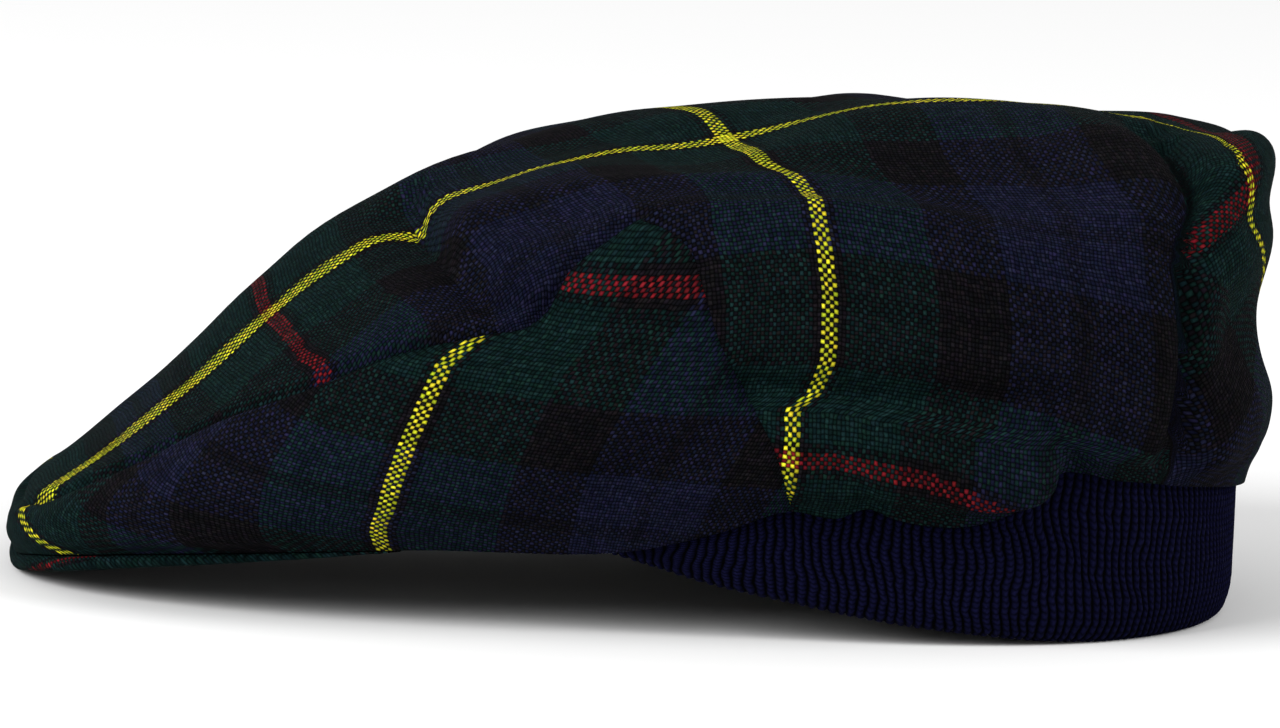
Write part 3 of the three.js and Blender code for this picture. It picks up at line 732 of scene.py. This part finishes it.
    def material(self, name: str, weave: bpy.types.NodeTree) -> bpy.types.Material:
        """A tartan material on the piece's own UV maps."""
        material = bpy.data.materials.new(name)
        material.use_nodes = True
        wires = Wiring(material.node_tree)
        group = wires.node("ShaderNodeGroup", node_tree=weave)
        for places in ("Cloth", "Grain"):
            wires.join(wires.node("ShaderNodeUVMap", uv_map=places.lower()).outputs[0], group.inputs[places])
        wires.surface(group.outputs["Color"], group.outputs["Height"], self.relief)
        return material


@dataclass(frozen=True)
class RibKnit:
    """Fine navy rib knit: columns of small loops, with painted shade between the ribs and between the loops."""

    rib_pitch: float = 2.15
    course: float = 1.35
    relief: float = 0.0003
    yarn: Triple = (0.0034, 0.0036, 0.0185)
    # painted shadow colour for the valleys between the ribs and the gaps between the loops
    shadow: Triple = (0.0001, 0.0001, 0.0004)

    def material(self, name: str) -> bpy.types.Material:
        """The knit's material, on its own coordinates along the band and down it in millimetres."""
        material = bpy.data.materials.new(name)
        material.use_nodes = True
        wires = Wiring(material.node_tree)
        coordinates = wires.node("ShaderNodeUVMap", uv_map="cloth")
        split = wires.parts(coordinates.outputs[0])
        phase = wires.math("FRACT", wires.math("DIVIDE", split[0], self.rib_pitch))
        side = wires.math("ABSOLUTE", wires.line(phase, 2.0, -1.0))
        ripple = wires.noise(coordinates.outputs[0], 0.35)
        narrow = wires.line(ripple.outputs["Fac"], 1.2, 0.75)
        fall = wires.times(wires.times(side, side), narrow)
        crest = wires.math("MAXIMUM", 0.0, wires.math("SUBTRACT", 1.0, fall))
        slope = wires.times(side, 0.45)
        row = wires.plus(wires.math("DIVIDE", split[1], self.course), slope)
        loop = wires.math("ABSOLUTE", wires.math("SINE", wires.times(row, math.pi)))
        fuzz = wires.noise(coordinates.outputs[0], 1.7, 3.0)
        height = wires.times(crest, wires.line(loop, 0.6, 0.4))
        # painted shade: the colour runs from the shadow colour in the valleys and between the loops to the yarn
        # colour on the crests
        share = wires.times(wires.line(loop, 0.75, 0.25), crest)
        colour = wires.mix(share, (*self.shadow, 1), (*self.yarn, 1))
        wires.surface(wires.scaled(colour, wires.line(fuzz.outputs["Fac"], 1.7, 0.15)), height, self.relief)
        return material


@dataclass
class Panel:
    """What the cloth panels share: the crown's form, a wall thickness and a turned edge."""

    form: CrownForm
    thickness: float = 1.6
    edge_bulge: float = 0.1
    edge_inset: float = -0.12

    def finish(self, surface: Surface, name: str, slot: str, material: bpy.types.Material) -> bpy.types.Object:
        """Gives the panel its wall and finish and sets it on the frame.

        Args:
            surface: The panel's outer face.
            name: The frame node that the panel stands for.
            slot: The record's material slot; not used.
            material: The panel's finish.

        Returns:
            The panel's object.
        """
        piece = surface.walled(self.thickness, self.edge_bulge, self.edge_inset).put(name + "_cloth")
        set_on_frame(piece, name, material)
        return piece


@dataclass
class TopPanel(Panel):
    """The panel that makes the front slope and the top and wraps the back half of the cap."""

    front_columns: int = 72
    back_columns: int = 112
    top_rows: int = 70
    wrap_rows: int = 64
    turn_ring: float = 2.6
    stretch: float = 1.02
    yellow_across: float = 27.45
    yellow_along: float = 15.0
    red_along: float = -82.7
    back_ease: float = 1.05
    back_shear: float = 0.8
    back_corner: float = 147.5
    wall_drift: float = 0.05
    puff_sag: float = 0.2
    nose_gather: float = 0.45
    nose_place: float = -223.0
    side_turn: tuple[float, float] = (30.0, 62.0)
    drift_span: tuple[float, float] = (15.0, 85.0)
    wall_span: tuple[float, float] = (60.0, 90.0)
    puff_span: tuple[float, float] = (98.0, 150.0)
    gather_span: tuple[float, float] = (-75.0, -40.0)
    nose_span: tuple[float, float] = (-134.0, -100.0)
    far_lie: float = 35.0
    round_pitch: float = 1.68
    flap_scale: float = 0.75
    flap_turn: float = 0.37
    flat: tuple[float, float] = (0.34, 0.37)
    flat_area: float = 0.0695

    def columns(self) -> Array:
        """Plan angles of the columns all the way round, closer together near the back seams."""
        front = np.linspace(0, SEAM_TOP_ANGLE, self.front_columns + 1)
        u = np.linspace(0, 1, self.back_columns + 1)[1:]
        back = SEAM_TOP_ANGLE + (180 - SEAM_TOP_ANGLE) * (0.6 * u + 0.4 * u * u)
        half = np.concatenate([front, back])
        return np.concatenate([half, 360 - half[-2:0:-1]])

    def lay_out(self) -> tuple[Array, Array, Array, Array]:
        """Grid of the panel.

        Rows go out from the crown's middle to the seam as shares of the way, then down the wrapped part.

        Returns:
            Signed plan angle and ring of every point, the quads and the triangles round the middle.
        """
        turn = self.columns()
        signed = np.where(turn > 180, turn - 360, turn)
        away = np.abs(signed)
        limit = np.where(away < SEAM_TOP_ANGLE, self.form.front_seam(away), SEAM_TOP_RING)
        u = np.linspace(0, 1, self.top_rows + 1)[1:]
        share = 0.5 * u + 0.5 * (1 - (1 - u) ** 2)
        top_ring = share[:, None] * limit[None, :]
        top_angle = np.broadcast_to(signed, top_ring.shape)
        wrapped = np.flatnonzero(away >= SEAM_TOP_ANGLE - 1e-6)
        down = SEAM_TOP_RING + (HEM - SEAM_TOP_RING) * np.linspace(0, 1, self.wrap_rows + 1)[1:]
        start = self.form.back_seam(down)[:, None]
        part = ((away[wrapped] - SEAM_TOP_ANGLE) / (180 - SEAM_TOP_ANGLE))[None, :]
        wrap_angle = np.sign(signed[wrapped])[None, :] * (start + part * (180 - start))
        wrap_ring = np.broadcast_to(down[:, None], wrap_angle.shape)
        angle = np.concatenate([[0.0], top_angle.ravel(), wrap_angle.ravel()])
        ring = np.concatenate([[0.0], top_ring.ravel(), wrap_ring.ravel()])
        count = len(turn)
        top = 1 + np.arange(top_ring.size).reshape(top_ring.shape)
        closed = np.concatenate([top, top[:, :1]], 1)
        wrap = 1 + top_ring.size + np.arange(wrap_ring.size).reshape(wrap_ring.shape)
        wrap = np.concatenate([top[-1:, wrapped], wrap])
        quads = np.concatenate([grid_quads(closed), grid_quads(wrap)])
        first = closed[0]
        triangles = np.stack([np.zeros(count, int), first[:-1], first[1:]], 1)
        return angle, ring, quads, triangles

    def length_along(self) -> tuple[Array, Array]:
        """Distance over the crown's middle line from front to back: places along Y and the arc up to each."""
        rings = np.linspace(0, 4, 161)
        front = self.form.smooth(0 * rings, rings)[::-1]
        back = self.form.smooth(0 * rings + 180, rings * self.turn_ring / 4)[1:]
        line = np.concatenate([front, back])
        keep = np.concatenate([[True], np.diff(np.maximum.accumulate(line[:, 1])) > 1e-6])
        line = line[keep]
        arc = arc_length(line)
        return line[:, 1], arc

    def cloth_places(self, angle: Array, ring: Array, points: Array) -> Array:
        """Places in the sett: how far each point lies over the cloth from the two yellow lines.

        Sideways it is X on the top plus the arc down the side walls, and lengthwise the arc along Y plus the arc down
        the back wall. At the nose the crosswise place is drawn to one green band. Behind the corner pleat sideways is
        the arc round the back from the yellow line's lie there, and the threads lie a little turned, the other way on
        each side.

        Args:
            angle: Signed plan angles.
            ring: Ring numbers.
            points: Points of the panel.

        Returns:
            Crosswise-line and lengthwise-line places in the sett, then the same among the threads, in millimetres.
        """
        away = np.abs(angle)
        x, y = points[:, 0], points[:, 1]
        inner = np.minimum(ring, self.turn_ring)
        top = self.form.smooth(angle, inner)
        steps = np.linspace(0, 1, 25)
        rays = self.form.smooth(angle[:, None] + 0 * steps, inner[:, None] + (ring - inner)[:, None] * steps)
        depth = np.linalg.norm(np.diff(rays, axis=1), axis=2).sum(1)
        side_share = ease(*self.side_turn, away)
        drift = (read(TOP_YELLOW, y) - self.yellow_across) * (1 - ease(*self.drift_span, x))
        drift = drift - self.wall_drift * np.maximum(y - 70, 0) * ease(*self.wall_span, x)
        reach = x * (1 - side_share) + top[:, 0] * side_share - drift
        reach = self.stretch * reach + np.sign(angle) * depth * side_share
        across = read(ACROSS_TOP, reach)
        across = across - self.puff_sag * np.maximum(y - 52, 0) * ease(*self.puff_span, reach)
        across = np.where(across < 0, across * (1 - self.nose_gather * (1 - ease(*self.gather_span, y))), across)
        ahead = self.run_along(y, reach)
        front = np.stack([ahead + (self.nose_place - ahead) * (1 - ease(*self.nose_span, y)), across], 1)
        way = np.sign(angle) * (180 - away) * self.round_pitch
        lie = (180 - read(BACK_YELLOW, ring)) * self.round_pitch
        off = way - lie - (self.far_lie - lie) * (1 - ease(-20, 20, way))
        down = top[:, 1] + depth + self.back_shear * np.maximum(self.back_corner - away, 0)
        run = self.run_along(down, off + self.yellow_across)
        back = np.stack([SETT_HALF - np.abs(run - SETT_HALF), self.flap_scale * off + 4 * np.tanh(off / 6)], 1)
        turned = 0.93 * way + self.flap_turn * np.tanh(way / 25) * (down - 110)
        threads = np.stack([run, turned], 1)
        tuck = read(PLEAT, ring)
        behind = (ease(-0.5, 0.5, away - tuck) * ease(1.64, 1.8, ring))[:, None]
        even = np.stack([ahead, reach], 1)
        return np.concatenate([front + (back - front) * behind, even + (threads - even) * behind], 1)

    def seam_roll(self, angle: Array, points: Array) -> Array:
        """How much further the threads run where the cloth rolls down to the front seam.

        It is the length down each ray beyond 1.6 times its plan length, shared between the two ways of the threads by
        the seam's lie.

        Args:
            angle: Signed plan angles.
            points: Points of the panel.

        Returns:
            Lengths to add to the crosswise and lengthwise places among the threads.
        """
        count = len(self.columns())
        rays = points[1:1 + self.top_rows * count].reshape(self.top_rows, count, 3)
        step = np.diff(rays, axis=0, prepend=rays[:1])
        extra = np.linalg.norm(step, axis=2) - 1.6 * np.linalg.norm(step[..., :2], axis=2)
        signed = angle[1:1 + count]
        away = np.abs(signed)
        extra = np.cumsum(np.maximum(extra, 0), axis=0) * (1 - ease(48, SEAM_TOP_ANGLE, away))
        turn = np.radians(60 * ease(0, 22, away))
        added = np.zeros((len(points), 2))
        ways = np.stack([-np.cos(turn), np.sin(turn) * np.sign(signed)], -1)
        added[1:1 + rays.shape[0] * count] = (extra[..., None] * ways).reshape(-1, 2)
        return added

    def run_along(self, along: Array, reach: Array) -> Array:
        """Place in the sett of the crosswise lines: the arc along Y from the yellow line's lie at a reach."""
        lie = [read(CROSS_LIE, reach, k) for k in (1, 2)]
        along = along - lie[0] - (lie[1] - lie[0]) * (1 - ease(-80, 0, along)) + self.yellow_along
        place, arc = self.length_along()
        start = np.interp(self.yellow_along, place, arc)
        lead = SETT_HALF / (start - np.interp(self.red_along, place, arc))
        beyond = np.maximum(along - place[-1], 0) + np.minimum(along - place[0], 0)
        run = np.interp(along, place, arc) + beyond - start
        return np.where(run < 0, run * lead, run * self.back_ease)

    def build(self, material: bpy.types.Material) -> bpy.types.Object:
        """Makes the panel."""
        angle, ring, quads, triangles = self.lay_out()
        points = self.form.cloth(angle, ring)
        places = self.cloth_places(angle, ring, points)
        places[:, 2:] += self.seam_roll(angle, points)
        piece = self.finish(Surface(points, quads, triangles, places), "crown_top", "tartan_top", material)
        return piece


@dataclass
class SidePanel(Panel):
    """The wedge from the front centre to the back seam on one side."""

    side: Side = Side.LEFT
    columns: int = 130
    rows: int = 62
    pull: float = 26.0
    lengthwise_shift: float = 0.0
    nose_place: float = -106.0
    nose_turn: tuple[float, float] = (12.0, 25.0)
    flat: tuple[float, float] = (0.175, 0.075)
    flat_area: float = 0.0078

    def arc_round(self, angle: Array) -> Array:
        """Distance round the cap from the front centre, on the middle of the side."""
        turn = np.linspace(0, 90, 181)
        line = self.form.smooth(turn, 0 * turn + 4.5)
        arc = arc_length(line)
        return np.interp(angle, turn, arc)

    def terms(self, angle: Array, height: Array) -> Array:
        """Terms of a smooth map over the panel: powers and products of the arc and the height."""
        a, z = self.arc_round(angle) / 100, height / 50
        return np.stack([1 + 0 * a, a, z, a * a, a * z, z * z], -1)

    def cloth_places(self, angle: Array, points: Array) -> Array:
        """Places in the sett: the smooth map that fits the coloured lines best, drawn to the yellow line near it."""
        places = []
        for yarns in Yarns:
            lines = [line for line in SIDE_LINES if line.yarns is yarns]
            paths = [np.array(line.path, float) for line in lines]
            spots = [self.form.cloth(path[:, 0], path[:, 1]) for path in paths]
            terms = [self.terms(path[:, 0], spot[:, 2]) for path, spot in zip(paths, spots)]
            wanted = [np.full(len(path), line.place) for path, line in zip(paths, lines)]
            fit = np.linalg.lstsq(np.concatenate(terms), np.concatenate(wanted), rcond=None)[0]
            place = self.terms(angle, points[:, 2]) @ fit
            if yarns is Yarns.CROSSWISE:
                order = np.argsort(spots[0][:, 2])
                error = np.interp(points[:, 2], spots[0][order, 2], (terms[0] @ fit)[order])
                place = place - error * np.exp(-((place / self.pull) ** 2))
            places.append(place + (self.lengthwise_shift if yarns is Yarns.LENGTHWISE else 0.0))
        return np.stack(places, 1)

    def build(self, material: bpy.types.Material) -> bpy.types.Object:
        """Makes the panel: rows go down from the seam to the hem, columns go from the front centre to the ear."""
        u = np.linspace(0, 1, self.rows + 1)
        down = (0.7 * u + 0.3 * u * u)[:, None]
        v = np.linspace(0, 1, self.columns + 1)
        along = (0.4 * (1 - (1 - v) ** 2) + 0.6 * v)[None, :]
        row_ring = SEAM_TOP_RING + (HEM - SEAM_TOP_RING) * down
        angle = along * self.form.back_seam(row_ring)
        top = self.form.front_seam(along * SEAM_TOP_ANGLE)
        ring = top + (HEM - top) * down
        angle, ring = angle.ravel(), ring.ravel()
        points = self.form.cloth(self.side.value * angle, ring)
        index = np.arange(points.shape[0]).reshape(self.rows + 1, self.columns + 1)
        index = index if self.side is Side.LEFT else index[:, ::-1]
        places = np.tile(self.cloth_places(angle, points), 2)
        places[:, 0] += (self.nose_place - places[:, 0]) * (1 - ease(*self.nose_turn, angle))
        surface = Surface(points, grid_quads(index), NO_TRIANGLES, places)
        piece = self.finish(surface, "side_panel_" + self.side.name.lower(), "tartan_side", material)
        return piece


@dataclass
class Peak:
    """The stiff crescent under the front, covered in the same tartan."""

    form: CrownForm
    end_angle: float = 37.0
    forehead: Ring = Ring("forehead", 119, 92, 82, 2.2, 2.2)
    tip_width: float = 4.0
    rim: float = 3.7
    rim_loss: float = 0.92
    slope: float = 0.25
    overhang: float = 0.8
    seat_width: float = 3.2
    gap: float = 0.3
    columns: int = 180
    red_across: float = 45.0
    red_slant: float = 5.0
    red_spread: float = 0.5
    plain_along: float = 139.3
    plain_place: float = 10.0
    plain_share: float = 0.2

    def section(self, angle: Array, share: Array, level: Array) -> Array:
        """Points of the peak's cross-section.

        The top follows the hem and then rises inward; the rim is rounded as half an ellipse.

        Args:
            angle: Plan angles.
            share: 0 at the inner edge, 1 at the start of the rounded rim, more than 1 round the rim.
            level: 1 on the top face, 0 on the bottom face.

        Returns:
            Points in millimetres.
        """
        turn = angle / self.end_angle
        outer = self.form.reach(RINGS[-1], angle) + self.overhang * (1 - 1.6 * turn * turn)
        depth = outer - self.form.reach(self.forehead, angle)
        width = self.tip_width + (depth - self.tip_width) * (1 - turn**4)
        thick = self.rim * (1 - self.rim_loss * turn * turn)
        nose = thick / 2
        inset = np.where(share <= 1, nose + (width - nose) * (1 - np.minimum(share, 1)), nose * (2 - share))
        seat = self.form.hem_height(np.abs(angle)) - self.gap
        top = seat + self.slope * np.maximum(inset - self.seat_width, 0)
        return self.form.plan(angle, outer - inset, np.maximum(top - thick * (1 - level), 0))

    def build(self, material: bpy.types.Material) -> bpy.types.Object:
        """Makes the peak: a closed profile of top, rounded rim, bottom and inner edge carried round the front."""
        angle = np.linspace(-self.end_angle, self.end_angle, self.columns + 1)
        face = np.linspace(0, 1, 15)
        turn = np.linspace(0, math.pi, 9)[1:-1]
        share = np.concatenate([face, 1 + np.sin(turn), face[::-1]])
        level = np.concatenate([1 + 0 * face, 0.5 + 0.5 * np.cos(turn), 0 * face])
        points = self.section(angle[None, :], share[:, None], level[:, None])
        rows, columns = points.shape[:2]
        index = tube_index(rows, columns)
        quads = grid_quads(index)
        flat = points.reshape(-1, 3)
        caps = []
        for end, flip in ((0, False), (columns - 1, True)):
            ring = index[:-1, end]
            fan = np.stack([np.full(rows - 2, ring[0]), ring[1:-1], ring[2:]], 1)
            caps.append(fan[:, ::-1] if flip else fan)
        seat = points[len(face) - 1, :, 2]
        drop = np.maximum(seat - points[:, :, 2], 0).ravel()
        along, across = flat[:, 1] - drop + self.plain_along, np.abs(flat[:, 0])
        spread = np.repeat(np.where(share > 1, self.red_spread, 1.0), columns)
        slanted = SETT_HALF + spread * (across - self.red_across + self.red_slant * drop)
        cloth = np.stack([self.plain_place + self.plain_share * along, slanted, along, across], 1)
        piece = Surface(flat, quads, np.concatenate(caps), cloth).put("peak_cover")
        set_on_frame(piece, "peak", material)
        return piece


@dataclass
class KnitBand:
    """The rib knit round the back, turned double at its lower edge."""

    form: CrownForm
    finish: RibKnit = RibKnit()
    start_angle: float = 54.0
    depth: float = 3.8
    layer: float = 1.5
    inset: float = 1.9
    tuck: float = 5.0
    rib_depth: float = 0.6
    unevenness: float = 0.17
    roll_depth: float = 2.2
    roll_height: float = 9.0
    samples: int = 8
    flat: tuple[float, float] = (0.42, 0.066)
    flat_area: float = 0.0235

    def round_arc(self) -> tuple[Array, Array]:
        """Plan angles along the band and the arc up to each."""
        angle = np.linspace(self.start_angle, 360 - self.start_angle, 2001)
        line = self.form.plan(angle, self.form.reach(RINGS[-1], angle) - self.inset, 0 * angle)
        return angle, arc_length(line)

    def bottom(self, angle: Array) -> Array:
        """Height of the band's lower edge, the same on both sides."""
        return np.maximum(table_curve(KNIT_BOTTOM, 1, np.minimum(angle, 360 - angle)), 0)

    def profile(self, angle: Array, path: Array, out: Array) -> tuple[Array, Array]:
        """Section of the doubled knit: down the outer layer, round the fold and up the inner layer.

        Args:
            angle: Plan angles of the columns.
            path: 0 at the outer layer's top edge, 1 at the fold's start, 2 at its end, 3 at the inner top edge.
            out: Distance of the wanted face from the middle of the layer.

        Returns:
            Reach inward from the band's outside, and height.
        """
        top = self.form.hem_height(angle) + self.tuck
        low = self.bottom(angle)
        middle = self.depth / 2
        bend = middle - self.layer / 2
        start = low + middle + 0 * path
        turn = math.pi * np.clip(path - 1, 0, 1)
        radius = bend + out
        inward = middle - radius * np.cos(turn)
        down = np.where(path < 1, top + (start - top) * path, start - radius * np.sin(turn))
        up = start + (top - start) * np.clip(path - 2, 0, 1)
        return inward, np.where(path > 2, up, down)

    def build(self) -> bpy.types.Object:
        """Makes the band: a closed loop of the doubled knit's two faces carried round the back, with rib waves."""
        angles, arcs = self.round_arc()
        ribs = int(arcs[-1] / self.finish.rib_pitch)
        arc = np.linspace(0, arcs[-1], ribs * self.samples + 1)
        angle = np.interp(arc, arcs, angles)[None, :]
        face = np.concatenate([np.linspace(0, 1, 16), 1 + np.linspace(0, 1, 9)[1:], 2 + np.linspace(0, 1, 6)[1:]])
        back = face[::3][::-1]
        path = np.concatenate([face, back])[:, None]
        out = np.concatenate([0 * face + self.layer / 2, 0 * back - self.layer / 2])[:, None]
        inward, height = self.profile(angle, path, out)
        rib = arc + self.unevenness * (
            np.sin(0.9 * height + 0.23 * arc)
            + np.sin(0.53 * arc + 0.31 * height)
            + np.sin(1.7 * height - 0.61 * arc)
        )
        wave = np.abs(np.cos(math.pi * rib / self.finish.rib_pitch)) ** 0.8
        valley = self.rib_depth * (1 - wave) * (out > 0)
        roll = self.roll_depth * np.clip(1 - (height - self.bottom(angle)) / self.roll_height, 0, 1) ** 2
        turn = math.pi * np.clip(path - 1, 0, 1)
        reach = self.form.reach(RINGS[-1], angle) - self.inset - roll
        away = np.minimum(angle, 360 - angle)
        lean = 0.075 * (24 - height) * np.exp(-(((away - 106) / 24) ** 2))
        lean = lean + 0.4 * np.sin(0.21 * height + 0.11 * arc) + 0.3 * np.sin(0.37 * height - 0.07 * arc + 1)
        lean = np.where(angle > 180, -lean, lean) * ease(0, 12, arc) * (1 - ease(arcs[-1] - 12, arcs[-1], arc))
        points = self.form.plan(
            angle + lean, reach - inward - valley * np.cos(turn), np.maximum(height + valley * np.sin(turn), 0))
        rows, columns = points.shape[:2]
        index = tube_index(rows, columns)
        flat = points.reshape(-1, 3)
        run = arc_length(points[:, columns // 2])
        cloth = np.stack(np.broadcast_arrays(rib + self.finish.rib_pitch / 2, run[:, None]), -1)
        cloth = np.tile(cloth.reshape(-1, 2), 2)
        half = len(face)
        caps = []
        for end, flip in ((0, False), (columns - 1, True)):
            ring = np.arange(rows) * columns + end
            near = ring[:half]
            far = ring[half:][::-1]
            match = np.minimum(np.round(np.arange(half) / 3).astype(int), len(far) - 1)
            quad = np.stack([near[:-1], near[1:], far[match[1:]], far[match[:-1]]], 1)
            caps.append(quad[:, ::-1] if flip else quad)
        caps = np.concatenate(caps)
        same = caps[:, 2] == caps[:, 3]
        first = caps[:, 0] == caps[:, 1]
        plain = caps[~same & ~first]
        slim = np.concatenate([caps[same][:, [0, 1, 2]], caps[first][:, [0, 2, 3]]])
        quads = np.concatenate([grid_quads(index), plain])
        piece = Surface(flat, quads, slim, cloth).put("knit_band_ribs")
        set_on_frame(piece, "knit_band", self.finish.material("navy_rib_knit"))
        return piece


@dataclass
class Studio:
    """Pale floor, soft light and the camera."""

    target: Triple = (0.0, 0.0, 0.055)
    swing: float = 6.0
    elevation: float = 7.5
    roll: float = 2.4
    distance: float = 2.0
    image: tuple[int, int] = (1280, 728)
    pixel: float = 0.0002215
    offset: tuple[float, float] = (4.17, -28.38)
    floor_half: float = 6.0
    floor_tone: float = 0.78
    room_light: float = 0.7
    lamp_size: float = 3.0

    def floor(self) -> None:
        """A wide plain floor."""
        half = self.floor_half
        mesh = bpy.data.meshes.new("floor")
        mesh.from_pydata(
            [(-half, -half, 0), (half, -half, 0), (half, half, 0), (-half, half, 0)], [], [(0, 1, 2, 3)])
        floor = bpy.data.objects.new("floor", mesh)
        bpy.context.scene.collection.objects.link(floor)
        material = bpy.data.materials.new("pale_floor")
        material.use_nodes = True
        shader = material.node_tree.nodes["Principled BSDF"]
        shader.inputs["Base Color"].default_value = (*[self.floor_tone] * 3, 1)
        shader.inputs["Roughness"].default_value = 0.9
        shader.inputs["Specular IOR Level"].default_value = 0.0
        mesh.materials.append(material)

    def light(self) -> None:
        """White surroundings and two large soft lamps, ahead of the cap and behind it."""
        world = bpy.data.worlds.new("white_room")
        bpy.context.scene.world = world
        world.use_nodes = True
        world.node_tree.nodes["Background"].inputs["Color"].default_value = (1, 1, 1, 1)
        world.node_tree.nodes["Background"].inputs["Strength"].default_value = self.room_light
        self.lamp("soft_key", (2.4, -3.5, 2.4), 280.0)
        self.lamp("soft_fill", (1.8, 3.7, 2.8), 130.0)
        bpy.context.scene.view_settings.view_transform = "Standard"

    def lamp(self, name: str, place: Triple, power: float) -> None:
        """A round soft lamp that shines on the cap from a place."""
        data = bpy.data.lights.new(name, "AREA")
        data.shape = "DISK"
        data.size = self.lamp_size
        data.energy = power
        lamp = bpy.data.objects.new(name, data)
        x, y, z = place
        lamp.location = place
        lamp.rotation_euler = (math.atan2(math.hypot(x, y), z), 0, math.atan2(x, -y))
        bpy.context.scene.collection.objects.link(lamp)

    def camera(self) -> None:
        """Camera at the photo's angle: from the wearer's left, a little ahead and above, slightly rolled."""
        swing, rise, roll = (math.radians(v) for v in (self.swing, self.elevation, self.roll))
        toward = np.array([math.cos(rise) * math.cos(swing), -math.cos(rise) * math.sin(swing), math.sin(rise)])
        right = np.array([math.sin(swing), math.cos(swing), 0.0])
        up = np.cross(toward, right)
        across = right * math.cos(roll) + up * math.sin(roll)
        rising = up * math.cos(roll) - right * math.sin(roll)
        data = bpy.data.cameras.new("camera")
        data.sensor_width = 36.0
        data.lens = 36.0 * self.distance / (self.image[0] * self.pixel)
        data.shift_x = -self.offset[0] / self.image[0]
        data.shift_y = self.offset[1] / self.image[0]
        camera = bpy.data.objects.new("camera", data)
        place = np.array(self.target) + toward * self.distance
        matrix = np.eye(4)
        matrix[:3, 0], matrix[:3, 1], matrix[:3, 2], matrix[:3, 3] = across, rising, toward, place
        camera.matrix_world = [list(row) for row in matrix.T.tolist()]
        bpy.context.scene.collection.objects.link(camera)
        bpy.context.scene.camera = camera

    def build(self) -> None:
        """Sets up the whole studio."""
        self.floor()
        self.light()
        self.camera()


def main() -> None:
    """Builds the studio and the cap's pieces in order."""
    logging.basicConfig(level=logging.INFO, format="%(name)s: %(message)s")
    Studio().build()
    form = CrownForm()
    tartan = TartanWeave()
    weave = tartan.group()
    KnitBand(form).build()
    Peak(form).build(tartan.material("tartan_peak", weave))
    TopPanel(form).build(tartan.material("tartan_top", weave))
    side_cloth = tartan.material("tartan_side", weave)
    for side, shift in ((Side.LEFT, 0.0), (Side.RIGHT, -14.0)):
        SidePanel(form, side=side, lengthwise_shift=shift).build(side_cloth)


if __name__ == "__main__":
    main()
